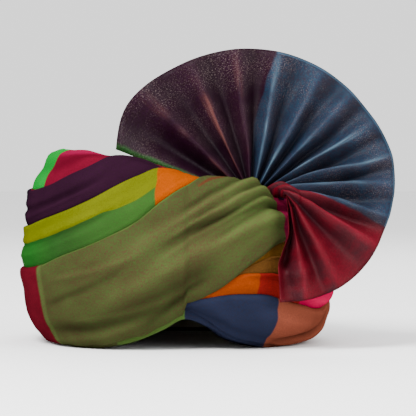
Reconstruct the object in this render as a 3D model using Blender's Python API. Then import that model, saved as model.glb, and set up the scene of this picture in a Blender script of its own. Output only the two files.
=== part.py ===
"""Ready-tied turban: a wound cloth body with a closed crown, and a pleated fan on the wearer's left.

The front of the head looks along -Y, the wearer's left is +X and the turban rests on its rim at z = 0.
The body is a stack of wound bands. Each band is a closed ring whose section runs out to the body's
outline and in to the inner band, and each lies on the next with a small gap.
"""
import math
from bisect import bisect_right
from collections import namedtuple

import bmesh
import bpy
from mathutils import Vector

MM = 0.001

# Driving sizes, in millimetres
HALF_WIDTH = 122.5        # plan of the body, side to side
HALF_LENGTH = 143.0       # plan of the body, front to back
PLAN_POWER = 2.25         # 2 is an ellipse, more is squarer
HEAD_HALF_WIDTH = 80.0    # hollow, side to side
HEAD_HALF_LENGTH = 99.0   # hollow, front to back
CORE_THICKNESS = 6.0      # inner band's wall
CORE_TOP = 96.0           # height of the inner band's upper edge
CAP_THICKNESS = 3.0
CAP_OVERHANG = 4.0        # how far the crown's edge lies out on the inner band's top
CAP_RISE = 22.0
GAP = 0.4                 # between pieces
EXTRA_ROOM = 0.64         # more of it between the wraps' thin ends at the front and the back
ROOM_FADES = 18.0         # degrees over which it fades out
LAP = 3.0                 # thickness of a wrap's folded edge where it lies on its neighbour
RIM_TUCK = 9.0            # how far the foot rises behind the lowest wrap
CROWN_BULGE = 1.0         # how far the crown roll rounds out
LIP_SHARE = 0.85          # inner lip of the crown roll, as a share of the crown's reach
LIP_UP = 1.35             # the body's outline runs from 0 at the rim to this at the inner lip
FAN_INNER = 12.0          # where the fan's pleats start, from their root
FAN_THICKNESS = 1.6
ROOT_THICKNESS = 4.6      # half depth of the gathered root

# Where the head's axis stands, so that the origin is the middle of the footprint's box
HEAD_X = -22.64
HEAD_Y = 1.3

# Stations round the body, in degrees from the front towards the wearer's left
FIRST_STATION = 4.0
STATION_STEP = 9.0
STATION_COUNT = 40
LEFT_START, LEFT_END = 4, 175   # between these the wraps of the wearer's left show
LEFT_FADE = 22                  # over which their laps grow at both ends

# The outline of the body's wall: share of the height, share of the plan's radius (plain and behind
# the olive swath's standing lip), and share of the rise from rim to crest
Outline = namedtuple("Outline", "up reach lip_reach rise")
OUTLINE = (
    Outline(0.00, 0.840, 0.840, 0.00),
    Outline(0.07, 0.905, 0.905, 0.055),
    Outline(0.20, 0.960, 0.960, 0.19),
    Outline(0.41, 1.000, 1.000, 0.41),
    Outline(0.60, 0.975, 0.980, 0.60),
    Outline(0.80, 0.945, 0.950, 0.80),
    Outline(0.91, 0.885, 0.905, 0.92),
    Outline(0.98, 0.820, 0.855, 0.99),
    Outline(1.05, 0.740, 0.785, 1.00),
    Outline(1.20, 0.665, 0.700, 1.00),
    Outline(1.35, 0.600, 0.600, 1.00),
)

# The body round the head: heights in millimetres (rim of the wraps, underside of the foot, crest of
# the wall, depth of the pocket behind the crest, inner lip), then the wraps' upper edges as shares of
# the height, then how high two of the wraps are tucked in, as shares of the inner band's height
Body = namedtuple("Body", "azimuth rim foot crest pocket lip olive_low olive_top lime_top purple_top"
                          " olive_tuck lime_tuck")
BODY = (
    Body(-176, 3.6, 0, 140.0, 0.0, 117.0, 0.00, 0.520, 0.670, 0.910, 0.42, 0.69),
    Body(-150, 3.6, 0, 146.0, 0.0, 120.0, 0.00, 0.450, 0.630, 0.870, 0.37, 0.65),
    Body(-120, 3.6, 0, 151.0, 0.0, 123.0, 0.00, 0.400, 0.600, 0.820, 0.34, 0.63),
    Body(-90, 3.6, 0, 152.0, 0.0, 124.0, 0.00, 0.380, 0.600, 0.800, 0.34, 0.63),
    Body(-68, 3.6, 0, 152.0, 0.0, 124.0, 0.00, 0.385, 0.610, 0.800, 0.35, 0.63),
    Body(-50, 4.0, 0, 152.0, 0.0, 124.0, 0.00, 0.410, 0.655, 0.825, 0.38, 0.67),
    Body(-38, 5.0, 0, 151.0, 0.0, 123.0, 0.00, 0.465, 0.705, 0.885, 0.42, 0.70),
    Body(-29, 6.5, 1, 149.0, 0.0, 122.0, 0.00, 0.515, 0.765, 0.945, 0.46, 0.73),
    Body(-20, 11.0, 4, 147.0, 0.0, 121.0, 0.00, 0.575, 0.840, 1.015, 0.51, 0.76),
    Body(-12, 17.0, 9, 143.0, 0.0, 119.0, 0.00, 0.655, 0.920, 1.050, 0.56, 0.80),
    Body(-4, 24.0, 16, 138.0, 0.0, 117.0, 0.02, 0.800, 1.000, 1.080, 0.62, 0.83),
    Body(4, 33.0, 24, 135.0, 2.0, 115.0, 0.05, 0.905, 1.050, 1.100, 0.67, 0.85),
    Body(13, 26.0, 18, 132.0, 14.0, 113.0, 0.20, 1.010, 1.085, 1.120, 0.71, 0.86),
    Body(22, 14.0, 8, 130.5, 25.0, 112.0, 0.42, 1.040, 1.090, 1.155, 0.72, 0.86),
    Body(31, 9.0, 3, 128.5, 26.0, 111.5, 0.56, 1.050, 1.090, 1.155, 0.72, 0.86),
    Body(40, 6.0, 0, 115.0, 12.5, 111.0, 0.71, 1.050, 1.090, 1.155, 0.72, 0.86),
    Body(49, 4.5, 0, 111.5, 8.0, 110.5, 0.75, 1.050, 1.090, 1.155, 0.72, 0.86),
    Body(58, 3.6, 0, 111.0, 5.5, 110.0, 0.76, 1.050, 1.090, 1.155, 0.72, 0.86),
    Body(76, 3.6, 0, 112.0, 2.0, 110.0, 0.76, 1.040, 1.090, 1.155, 0.72, 0.86),
    Body(94, 3.6, 0, 114.0, 0.0, 110.5, 0.76, 1.030, 1.085, 1.150, 0.72, 0.86),
    Body(112, 3.6, 0, 119.0, 0.0, 111.0, 0.71, 0.970, 1.060, 1.130, 0.70, 0.86),
    Body(130, 3.6, 0, 126.0, 0.0, 113.0, 0.55, 0.850, 0.980, 1.080, 0.66, 0.84),
    Body(148, 3.6, 0, 132.0, 0.0, 114.5, 0.34, 0.710, 0.850, 1.030, 0.57, 0.78),
    Body(166, 3.6, 0, 136.5, 0.0, 116.0, 0.13, 0.580, 0.730, 0.950, 0.49, 0.73),
    Body(175, 3.6, 0, 139.0, 0.0, 117.0, 0.04, 0.540, 0.690, 0.920, 0.45, 0.70),
)

# Upper edges of the wraps that show only on the wearer's left, as shares of the height
Left = namedtuple("Left", "azimuth blue_top orange_top ochre_top")
LEFT = (
    Left(4, 0.05, 0.05, 0.05),
    Left(13, 0.165, 0.20, 0.20),
    Left(22, 0.265, 0.395, 0.42),
    Left(31, 0.29, 0.425, 0.525),
    Left(40, 0.29, 0.46, 0.60),
    Left(49, 0.275, 0.49, 0.63),
    Left(58, 0.25, 0.495, 0.63),
    Left(67, 0.24, 0.50, 0.63),
    Left(80, 0.29, 0.50, 0.63),
    Left(94, 0.35, 0.50, 0.63),
    Left(112, 0.35, 0.49, 0.61),
    Left(121, 0.33, 0.47, 0.57),
    Left(130, 0.29, 0.42, 0.51),
    Left(139, 0.24, 0.36, 0.445),
    Left(148, 0.20, 0.34, 0.34),
    Left(157, 0.16, 0.23, 0.23),
    Left(166, 0.13, 0.13, 0.13),
    Left(175, 0.04, 0.04, 0.04),
)

# Each wrap: its lower and upper edge, first station and number of stations, whether its lower or
# upper folded edge lies over its neighbour, how far it rounds out, and its colour
Wrap = namedtuple("Wrap", "name low up first count low_over up_over bulge colour")
WRAPS = (
    Wrap("blue_copper_wrap", "rim", "blue_top", 0, 20, 0, 1, 4.5, (0.06, 0.10, 0.42, 1)),
    Wrap("orange_red_pink_wrap", "blue_top", "orange_top", 1, 17, 0, 1, 3.0, (0.75, 0.12, 0.05, 1)),
    Wrap("ochre_wrap", "orange_top", "ochre_top", 2, 14, 0, 1, 2.0, (0.62, 0.34, 0.05, 1)),
    Wrap("gold_wrap", "ochre_top", "olive_low", 3, 12, 0, 0, 1.4, (0.80, 0.55, 0.10, 1)),
    Wrap("olive_swath", "olive_low", "olive_top", 0, 40, 1, 1, 4.0, (0.24, 0.20, 0.05, 1)),
    Wrap("lime_green_wrap", "olive_top", "lime_top", 0, 40, 0, 1, 2.4, (0.30, 0.48, 0.06, 1)),
    Wrap("purple_wrap", "lime_top", "purple_top", 0, 40, 0, 1, 3.8, (0.07, 0.02, 0.10, 1)),
)
CROWN_COLOUR = (0.45, 0.02, 0.06, 1)
BASE_COLOUR = (0.35, 0.42, 0.08, 1)
CAP_COLOUR = (0.40, 0.03, 0.08, 1)
FAN_COLOUR = (0.30, 0.05, 0.30, 1)
ROOT_COLOUR = (0.50, 0.04, 0.05, 1)

# How high each edge is tucked in, as a share of the inner band's height
TUCK = {"blue_top": 0.14, "orange_top": 0.27, "ochre_top": 0.40, "olive_low": 0.54, "purple_top": 1.0}

# Main folds along the wraps: where round the body, where across the wrap, how wide and how high
Fold = namedtuple("Fold", "wrap start end at width height")
FOLDS = (
    Fold("olive_swath", -60, 20, 0.22, 0.07, -2.2),
    Fold("olive_swath", -30, 60, 0.42, 0.08, 2.6),
    Fold("olive_swath", -10, 62, 0.60, 0.06, -2.6),
    Fold("olive_swath", -22, 30, 0.74, 0.07, 2.4),
    Fold("olive_swath", 120, 240, 0.50, 0.10, -2.2),
    Fold("purple_wrap", -100, -20, 0.45, 0.10, -2.0),
    Fold("lime_green_wrap", -110, -10, 0.52, 0.08, -1.4),
    Fold("crown_wrap", -110, -25, 0.20, 0.09, -1.8),
    Fold("blue_copper_wrap", 20, 80, 0.40, 0.10, -2.6),
    Fold("orange_red_pink_wrap", 30, 85, 0.55, 0.12, 1.8),
)

# The fan, a row for each rib: direction in the fan's plane (degrees, 0 to the wearer's left and 90 up),
# reach, where it is rooted, how far its rim lies behind the root, where its cloth is gathered, and how
# far the gathered root is rolled over the lip there (degrees)
Rib = namedtuple("Rib", "direction reach root_x root_y root_z back gather_x gather_y gather_z roll")
RIBS = (
    Rib(160, 113.0, 60.0, -80.0, 115.6, 8.0, 58.0, -80.0, 108.9, 0),
    Rib(141, 122.5, 60.0, -80.0, 115.6, 11.0, 58.0, -80.0, 108.9, 0),
    Rib(116, 119.0, 60.0, -80.0, 115.6, 15.0, 58.0, -80.0, 108.9, 0),
    Rib(93, 118.0, 60.0, -80.0, 115.6, 16.0, 58.0, -80.0, 108.9, 0),
    Rib(65, 116.5, 60.0, -80.0, 115.6, 14.0, 58.0, -80.0, 108.9, 0),
    Rib(44, 114.0, 60.5, -80.0, 116.0, 9.0, 59.0, -79.0, 109.4, 15),
    Rib(19, 106.0, 68.0, -83.0, 119.5, 1.0, 64.0, -78.5, 114.8, 50),
    Rib(0, 92.5, 78.0, -92.0, 123.0, -3.0, 73.0, -86.0, 120.7, 68),
    Rib(-25, 81.0, 86.5, -106.0, 122.4, -6.0, 82.0, -99.0, 121.0, 50),
    Rib(-51, 83.0, 87.0, -112.0, 122.4, -11.0, 85.0, -106.0, 120.0, 20),
    Rib(-78, 84.0, 87.0, -115.0, 122.4, -14.0, 86.0, -110.0, 120.0, 0),
    Rib(-93, 84.5, 87.5, -116.0, 122.4, -14.0, 86.0, -111.0, 120.0, 0),
)

# Directions of the fan's crests, from its lower left end round to its lower right end
CRESTS = (160, 136, 115, 96, 79, 61, 46, 32, 17, 3, -16, -38, -60, -80, -93)
# One pleat from crest to crest: how far along, and how high from valley (-1) to crest (+1)
PLEAT = ((0.0, 1.0), (0.22, 0.62), (0.5, -1.0), (0.76, -0.55))
# Half depth of the pleats from root to rim
PLEAT_DEPTH = ((0.0, 3.4), (0.25, 6.0), (0.5, 7.2), (0.8, 4.6), (1.0, 2.6))
FAN_STEPS = 8


def smooth(x):
    """Ease from 0 to 1."""
    x = min(max(x, 0.0), 1.0)
    return x * x * (3 - 2 * x)


def read(xs, ys, x):
    """Value at x of a curve through the rows that doesn't overshoot between them."""
    last = len(xs) - 2
    i = max(0, min(last, bisect_right(xs, x) - 1))

    def rate(k):
        return (ys[k + 1] - ys[k]) / (xs[k + 1] - xs[k])

    def slope(k):
        if k == 0:
            return rate(0)
        if k == last + 1:
            return rate(last)
        before, after = rate(k - 1), rate(k)
        return 0.0 if before * after <= 0 else 2 * before * after / (before + after)

    step = xs[i + 1] - xs[i]
    u = min(max((x - xs[i]) / step, 0.0), 1.0)
    a, b = slope(i) * step, slope(i + 1) * step
    rise = ys[i + 1] - ys[i]
    return ys[i] + u * (a + u * (3 * rise - 2 * a - b + u * (a + b - 2 * rise)))


def column(rows, name, x):
    """A table's column at x, where x is the table's first column."""
    return read([row[0] for row in rows], [getattr(row, name) for row in rows], x)


def around(name, azimuth):
    """A column of the body's table, which closes on itself."""
    azimuth = (azimuth + 180) % 360 - 180
    rows = [row._replace(azimuth=row.azimuth - 360) for row in BODY[-3:]]
    rows += list(BODY) + [row._replace(azimuth=row.azimuth + 360) for row in BODY[:3]]
    return column(rows, name, azimuth)


def plan(azimuth):
    """Radius of the body's plan."""
    a = math.radians(azimuth)
    side = abs(math.sin(a)) / HALF_WIDTH
    ahead = abs(math.cos(a)) / HALF_LENGTH
    return (side ** PLAN_POWER + ahead ** PLAN_POWER) ** (-1 / PLAN_POWER)


def oval(azimuth, grow=0.0):
    """Radius of the head's oval, grown evenly."""
    a = math.radians(azimuth)
    return 1 / math.hypot(math.sin(a) / (HEAD_HALF_WIDTH + grow), math.cos(a) / (HEAD_HALF_LENGTH + grow))


def cap_top(share):
    """Height of the crown's upper face at a share of its reach."""
    return CORE_TOP + GAP + CAP_THICKNESS + CAP_RISE * max(0.0, 1 - share * share) ** 0.75


def outline(azimuth, up):
    """Radius and height of the body's outline at a share of the wall's height."""
    rim, crest = around("rim", azimuth), around("crest", azimuth)
    pocket, lip = around("pocket", azimuth), around("lip", azimuth)
    stand = smooth(pocket / 12.0)
    plain = column(OUTLINE, "reach", up)
    behind = column(OUTLINE, "lip_reach", up)
    radius = plan(azimuth) * (plain + (behind - plain) * stand)
    height = rim + column(OUTLINE, "rise", up) * (crest - rim)
    height -= pocket * smooth((up - 0.995) / 0.055)
    if up > 1.05:
        share = (up - 1.05) / (LIP_UP - 1.05)
        foot = crest - pocket
        height = foot + (lip - foot) * share ** 1.4
        inner = LIP_SHARE * oval(azimuth, CAP_OVERHANG)
        radius += (inner - plan(azimuth) * OUTLINE[-1].reach) * share
    return Vector((radius, height))


def normal(azimuth, up):
    """The outline's outward direction in the section."""
    low, high = outline(azimuth, max(0.0, up - 0.02)), outline(azimuth, min(LIP_UP, up + 0.02))
    along = (high - low).normalized()
    return Vector((along.y, -along.x))


def edge(name, azimuth):
    """Share of the wall's height at which a named edge lies."""
    if name == "rim":
        return 0.0
    if name in Left._fields and LEFT_START <= azimuth <= LEFT_END:
        return min(column(LEFT, name, azimuth), around("olive_low", azimuth))
    return around(name, azimuth)


def tuck_height(name, azimuth):
    """Height at which an edge's cloth meets the inner band."""
    rim = around("rim", azimuth) + RIM_TUCK
    if name == "rim":
        return rim
    share = TUCK.get(name)
    if name == "olive_top":
        share = around("olive_tuck", azimuth)
    if name == "lime_top":
        share = around("lime_tuck", azimuth)
    if name in Left._fields or name == "olive_low":
        share *= smooth((azimuth + 5) / 36) * smooth((184 - azimuth) / 36)
    return rim + (CORE_TOP - 4 - rim) * share


def tuck(name, azimuth, side):
    """Section curve between two wraps from the outside in, moved half the gap to one side."""
    up = edge(name, azimuth)
    start = outline(azimuth, up)
    end = Vector((oval(azimuth, CORE_THICKNESS) + GAP, tuck_height(name, azimuth)))
    drop = start.y - end.y
    depth = min(5.0, 0.4 * abs(start.x - end.x))
    fall = min(18.0, 0.8 * drop) if drop > 0 else 0.3 * drop
    if name == "olive_low":
        depth, fall = 0.5 * (start.x - end.x), 0.2 * drop
    middle = Vector((max(start.x - depth, end.x + 1.5), start.y - fall))
    points = []
    for t in (0.0, 0.3, 0.65, 1.0):
        at = start * (1 - t) ** 2 + middle * 2 * t * (1 - t) + end * t * t
        along = ((middle - start) * (1 - t) + (end - middle) * t).normalized()
        points.append((at, Vector((along.y, -along.x))))
    points[-1] = (end, Vector((0, 1)))
    room = GAP / 2
    if name in Left._fields or name == "olive_low":
        room += EXTRA_ROOM * max(0.0, 1 - min(azimuth - LEFT_START, LEFT_END - azimuth) / ROOM_FADES)
    return [at + across * side * room for at, across in points]


def fold_height(wrap, azimuth, v):
    """Sum of the folds that cross this place on a wrap."""
    total = 0.0
    for fold in FOLDS:
        if fold.wrap != wrap:
            continue
        turn = azimuth if azimuth >= fold.start else azimuth + 360
        span = fold.end - fold.start
        window = smooth((turn - fold.start) / (0.3 * span)) * smooth((fold.end - turn) / (0.3 * span))
        total += fold.height * window * math.exp(-((v - fold.at) / fold.width) ** 2)
    return total


ACROSS = (0.0, 0.10, 0.24, 0.40, 0.56, 0.72, 0.86, 0.94, 1.0)


def skin(name, azimuth, low, up, low_lap, up_lap, bulge):
    """Outer face of a wrap in the section, from its lower to its upper edge."""
    points = []
    height = (outline(azimuth, up) - outline(azimuth, low)).length
    fullness = smooth(height / 30)
    lap = LAP * smooth(height / 14)
    for v in ACROSS:
        level = low + (up - low) * v
        out = bulge * fullness * (4 * v * (1 - v)) ** 0.8
        out += lap * (low_lap * (1 - smooth(v / 0.3)) + up_lap * smooth((v - 0.7) / 0.3))
        out += fullness * fold_height(name, azimuth, v)
        points.append(outline(azimuth, level) + normal(azimuth, level) * out)
    return points


def place(azimuth, point):
    """A section's point in space, in metres."""
    a = math.radians(azimuth)
    return Vector((point.x * math.sin(a), -point.x * math.cos(a), point.y)) * MM


def finish(name, mesh_data, colour, is_smooth=True):
    """Link a closed mesh as a node with its own material."""
    bmesh.ops.remove_doubles(mesh_data, verts=mesh_data.verts, dist=0.02 * MM)
    bmesh.ops.translate(mesh_data, verts=mesh_data.verts, vec=Vector((HEAD_X, HEAD_Y, 0)) * MM)
    bmesh.ops.triangulate(mesh_data, faces=[f for f in mesh_data.faces if len(f.verts) > 3])
    bmesh.ops.recalc_face_normals(mesh_data, faces=mesh_data.faces)
    for face in mesh_data.faces:
        face.smooth = is_smooth
    mesh = bpy.data.meshes.new(name)
    mesh_data.to_mesh(mesh)
    mesh_data.free()
    node = bpy.data.objects.new(name, mesh)
    bpy.context.scene.collection.objects.link(node)
    material = bpy.data.materials.new(name)
    material.use_nodes = True
    shader = material.node_tree.nodes["Principled BSDF"]
    shader.inputs["Base Color"].default_value = colour
    shader.inputs["Roughness"].default_value = 0.7
    mesh.materials.append(material)
    return node


def ring(name, sections, flips, closed, colour):
    """Loft closed sections round the body. Flips says which way each quad is cut into triangles."""
    bm = bmesh.new()
    loops = [[bm.verts.new(place(azimuth, p)) for p in points] for azimuth, points in sections]
    count = len(loops)
    for i in range(count if closed else count - 1):
        here, there = loops[i], loops[(i + 1) % count]
        size = len(here)
        for k in range(size):
            a, b = here[k], here[(k + 1) % size]
            c, d = there[(k + 1) % size], there[k]
            if flips[k]:
                bm.faces.new((a, b, d))
                bm.faces.new((b, c, d))
            else:
                bm.faces.new((a, b, c))
                bm.faces.new((a, c, d))
    return finish(name, bm, colour)


def blade(wrap, station):
    """Thin end of a wrap that starts or ends between its neighbours, one station beyond it."""
    azimuth = FIRST_STATION + STATION_STEP * station
    names = (wrap.low, wrap.up)
    if not LEFT_START <= azimuth <= LEFT_END:
        azimuth, names = (azimuth + 180) % 360 - 180, ("rim", "rim")
    low, up = [tuck(name, azimuth, 0) for name in names]
    middle = [(a + b) / 2 for a, b in zip(low, up)]
    if names[0] == "rim":
        pulled = [point - Vector((2 * GAP, 0)) for point in middle[:-1]]
        middle = pulled + [middle[-1] + Vector((1.5 * GAP, -0.5 * GAP))]
    return azimuth, [middle[0]] * len(ACROSS) + middle + middle[::-1]


def build_wrap(wrap):
    """One wound wrap between its two edges, closed on itself or tapering to two thin ends."""
    whole = wrap.count == STATION_COUNT
    sections = [] if whole else [blade(wrap, wrap.first - 1)]
    for i in range(wrap.first, wrap.first + wrap.count):
        azimuth = FIRST_STATION + STATION_STEP * i
        turn = azimuth if azimuth < 180 else azimuth - 360
        low_name, up_name = wrap.low, wrap.up
        if low_name == "olive_low" and not 0 <= i <= 19:
            low_name = "rim"
        low_lap = smooth((turn - LEFT_START) / LEFT_FADE) * smooth((LEFT_END - turn) / LEFT_FADE)
        low_lap *= wrap.low_over
        up_lap = wrap.up_over
        if up_name in Left._fields:
            up_lap *= smooth((edge("olive_low", turn) - edge(up_name, turn)) / 0.08)
        skin_points = skin(wrap.name, turn, edge(low_name, turn), edge(up_name, turn),
                           low_lap if low_name != "rim" else 0, up_lap, wrap.bulge)
        upper = tuck(up_name, turn, -1)
        lower = tuck(low_name, turn, 1)
        skin_points[0] += lower[0] - outline(turn, edge(low_name, turn))
        skin_points[-1] += upper[0] - outline(turn, edge(up_name, turn))
        if up_lap > 0:
            step = skin_points[-2] - skin_points[-1]
            skin_points[-1] += step * min(0.3, 0.3 / step.length)
        points = skin_points + upper + lower[::-1]
        sections.append((azimuth, points))
    outer = len(ACROSS)
    if not whole:
        sections.append(blade(wrap, wrap.first + wrap.count))
    flips = [False] * (outer + 4) + [True] * 4
    return ring(wrap.name, sections, flips, whole, wrap.colour)


def build_crown():
    """The crimson roll over the top of the wall, down to the crown on its inner side."""
    sections = []
    for i in range(STATION_COUNT):
        azimuth = FIRST_STATION + STATION_STEP * i
        turn = azimuth if azimuth < 180 else azimuth - 360
        outer = skin("crown_wrap", turn, edge("purple_top", turn), LIP_UP, 0, 0, CROWN_BULGE)
        reach = oval(turn, CAP_OVERHANG)
        under = [Vector((share * reach, cap_top(share) + GAP)) for share in (0.85, 0.925)]
        under.append(Vector((reach + 0.6, cap_top(1.0) + GAP)))
        under.append(Vector((oval(turn, CORE_THICKNESS) + GAP, CORE_TOP + GAP)))
        lower = tuck("purple_top", turn, 1)
        outer[0] += lower[0] - outline(turn, edge("purple_top", turn))
        sections.append((azimuth, outer + under + lower[::-1]))
    flips = [False] * (len(ACROSS) + 4) + [True] * 4
    return ring("crown_wrap", sections, flips, True, CROWN_COLOUR)


def build_base():
    """The inner band with its turned-out foot, flat underneath where it rests."""
    sections = []
    for i in range(STATION_COUNT):
        azimuth = FIRST_STATION + STATION_STEP * i
        turn = azimuth if azimuth < 180 else azimuth - 360
        foot, rim = around("foot", turn), around("rim", turn)
        inner, core = oval(turn), oval(turn, CORE_THICKNESS)
        under = tuck("rim", turn, -1)
        for point in under:
            point.x -= 2 * GAP
        tip = under[0]
        points = [Vector((inner, foot)), Vector((inner, 0.5 * (foot + CORE_TOP))), Vector((inner, CORE_TOP))]
        points += [Vector((core, CORE_TOP))] + under[::-1]
        points += [Vector((tip.x - 0.4, foot + 0.4 * (rim - foot))), Vector((tip.x - 2.5, foot))]
        sections.append((azimuth, points))
    flips = [False] * 3 + [True] * 4 + [False] * 3
    return ring("base_wrap", sections, flips, True, BASE_COLOUR)


def build_cap():
    """The closed crown, a shallow dome on the inner band's top."""
    shares = (1.0, 0.925, 0.85, 0.62, 0.32)
    bm = bmesh.new()
    faces = []
    for sink in (0.0, CAP_THICKNESS):
        rings = []
        for share in shares:
            loop = []
            for i in range(STATION_COUNT):
                turn = FIRST_STATION + STATION_STEP * i
                point = Vector((share * oval(turn, CAP_OVERHANG), cap_top(share) - sink))
                loop.append(bm.verts.new(place(turn, point)))
            rings.append(loop)
        faces.append((rings, bm.verts.new(Vector((0, 0, (cap_top(0) - sink) * MM)))))
    for rings, pole in faces:
        for outer, inner in zip(rings, rings[1:]):
            for i in range(STATION_COUNT):
                j = (i + 1) % STATION_COUNT
                bm.faces.new((outer[i], outer[j], inner[j]))
                bm.faces.new((outer[i], inner[j], inner[i]))
        for i in range(STATION_COUNT):
            bm.faces.new((rings[-1][i], rings[-1][(i + 1) % STATION_COUNT], pole))
    top, bottom = faces[0][0][0], faces[1][0][0]
    for i in range(STATION_COUNT):
        j = (i + 1) % STATION_COUNT
        bm.faces.new((top[i], top[j], bottom[j], bottom[i]))
    return finish("crown_cap", bm, CAP_COLOUR)


def rib(name, direction):
    """A column of the fan's table at a direction."""
    return column(RIBS[::-1], name, direction)


def toward(roll):
    """The way the fan's cloth faces: to the front, turned up by the roll over the lip."""
    turn = math.radians(roll)
    return Vector((0, -math.cos(turn), math.sin(turn)))


def fan_columns():
    """Direction and pleat height of each column of the fan."""
    columns = []
    for start, end in zip(CRESTS, CRESTS[1:]):
        columns += [(start + (end - start) * share, level) for share, level in PLEAT]
    return columns + [(CRESTS[-1], 1.0)]


def spread(bm, rows):
    """Close a front and a back sheet of points into one solid."""
    sheets = [[[bm.verts.new(p * MM) for p in line] for line in sheet] for sheet in rows]
    for sheet in sheets:
        for here, there in zip(sheet, sheet[1:]):
            for k in range(len(here) - 1):
                bm.faces.new((here[k], here[k + 1], there[k + 1], there[k]))
    front, back = sheets
    for side in (0, -1):
        for k in range(len(front[side]) - 1):
            bm.faces.new((front[side][k], front[side][k + 1], back[side][k + 1], back[side][k]))
    for i in range(len(front) - 1):
        for end in (0, -1):
            bm.faces.new((front[i][end], front[i + 1][end], back[i + 1][end], back[i][end]))


def build_fan():
    """The pleated fan, spread out from its roots behind and over the olive swath's lip."""
    sheets = ([], [])
    for direction, level in fan_columns():
        root = Vector([rib(key, direction) for key in ("root_x", "root_y", "root_z")])
        reach, back = rib("reach", direction), rib("back", direction)
        a = math.radians(direction)
        along = Vector((math.cos(a), 0, math.sin(a)))
        lines = ([], [])
        for k in range(FAN_STEPS + 1):
            s = k / FAN_STEPS
            facing = toward(rib("roll", direction) * (1 - s))
            depth = level * read([p[0] for p in PLEAT_DEPTH], [p[1] for p in PLEAT_DEPTH], s)
            middle = root + along * (FAN_INNER + (reach - FAN_INNER) * s) + Vector((0, back * s, 0))
            for line, side in zip(lines, (0.5, -0.5)):
                line.append(middle + facing * (depth + side * FAN_THICKNESS))
        for sheet, line in zip(sheets, lines):
            sheet.append(line)
    bm = bmesh.new()
    spread(bm, sheets)
    return finish("fan", bm, FAN_COLOUR, False)


def build_root():
    """The fan's gathered root, from the pocket up and over the olive swath's lip."""
    sheets = ([], [])
    step = -11
    for direction in [160 + step * k for k in range(24)]:
        root = Vector([rib(key, direction) for key in ("root_x", "root_y", "root_z")])
        gather = Vector([rib(key, direction) for key in ("gather_x", "gather_y", "gather_z")])
        a = math.radians(direction)
        rim = root + Vector((math.cos(a), 0, math.sin(a))) * (FAN_INNER - 1.2)
        facing = toward(rib("roll", direction))
        for sheet, side in zip(sheets, (1, -1)):
            sheet.append([gather.lerp(rim, s) + facing * side * depth
                          for s, depth in ((0.0, 2.6), (0.35, ROOT_THICKNESS), (0.75, 4.0), (1.0, 2.2))])
    bm = bmesh.new()
    spread(bm, sheets)
    return finish("fan_root", bm, ROOT_COLOUR)


def main():
    """Build every piece."""
    for old in list(bpy.data.objects):
        bpy.data.objects.remove(old, do_unlink=True)
    build_base()
    build_cap()
    build_crown()
    for wrap in WRAPS:
        build_wrap(wrap)
    build_fan()
    build_root()


main()
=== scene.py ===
"""Looks of the ready-tied turban: every wrap, the crown and the pleated fan as fine woven cloth."""
import logging
import math
from bisect import bisect_right
from dataclasses import dataclass, field
from enum import Enum
from functools import lru_cache

import bmesh
import bpy
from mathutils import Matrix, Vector, noise


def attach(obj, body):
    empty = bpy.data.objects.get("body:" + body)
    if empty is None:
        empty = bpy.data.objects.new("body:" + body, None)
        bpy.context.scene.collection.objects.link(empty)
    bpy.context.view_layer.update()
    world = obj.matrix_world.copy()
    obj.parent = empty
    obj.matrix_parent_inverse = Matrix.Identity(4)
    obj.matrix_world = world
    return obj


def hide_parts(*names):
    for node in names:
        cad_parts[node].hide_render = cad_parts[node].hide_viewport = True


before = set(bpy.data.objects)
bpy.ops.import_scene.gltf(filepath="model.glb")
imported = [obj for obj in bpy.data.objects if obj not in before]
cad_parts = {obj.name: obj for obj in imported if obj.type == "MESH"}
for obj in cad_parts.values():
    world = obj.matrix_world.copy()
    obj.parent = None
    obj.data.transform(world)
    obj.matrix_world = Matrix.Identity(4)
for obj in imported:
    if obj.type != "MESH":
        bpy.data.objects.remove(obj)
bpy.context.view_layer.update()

LOG = logging.getLogger("turban")
MM = 0.001

Colour = tuple[float, float, float]
Place = tuple[float, float, float]
Point = tuple[float, float]

# The head, the body's plan and the gaps in millimetres, with the powers of the plan's and the crown's curves
HALF_WIDTH, HALF_LENGTH, PLAN_POWER = 122.5, 143.0, 2.25
HEAD_HALF_WIDTH, HEAD_HALF_LENGTH = 80.0, 99.0
HEAD_X, HEAD_Y = -22.64, 1.3
CORE_THICKNESS, CORE_TOP = 6.0, 96.0
CAP_THICKNESS, CAP_OVERHANG, CAP_RISE, CAP_ROUND = 3.0, 4.0, 22.0, 0.75
GAP, LAP, RIM_TUCK = 0.4, 3.0, 9.0
FAN_INNER = 12.0

# Shares of the wall's height where the crest ends, where the roll's slope behind it starts, and at the
# roll's inner lip; then the lip's share of the crown's reach and the power of the slope
CREST_END, SLOPE_START, LIP_UP = 0.995, 1.05, 1.35
LIP_SHARE, SLOPE_POWER = 0.85, 1.4

# Depth in millimetres of a pocket whose lip stands up in full
FULL_POCKET = 12.0

# Azimuths between which the left-hand wraps show, those where the lowest of them begins and ends, and
# the extra room in millimetres at their thin ends
LEFT_START, LEFT_END, LEFT_FADE = 4.0, 175.0, 22.0
BLUE_START, BLUE_END, BLUE_FADE = -5.0, 184.0, 36.0
EXTRA_ROOM, ROOM_FADES = 0.64, 18.0

# How far an edge's cloth goes in and down on its way to the inner band, how far it stays off the band on
# the way, and how far below the band's top the highest one ends, in millimetres
TUCK_DEPTH, TUCK_FALL, TUCK_CLEAR, TUCK_BELOW = 5.0, 18.0, 1.5, 4.0

# How finely the cloth is drawn: sections round the head, points of a tuck, degrees of a thin end
STATIONS, TUCK_POINTS, THIN_END = 240, 7, 9.0

# How a wrap's face swells: powers of its bulge and its folds, and heights in millimetres from which it
# has its full bulge and its full lap
BULGE_POWER, FOLD_POWER = 0.8, 0.35
FULL_BULGE, FULL_LAP = 30.0, 14.0

# Millimetres of relief between the crease with the darkest painted shade and the ridge with the lightest
# painted highlight
RELIEF_SPAN = 9.0


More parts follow.
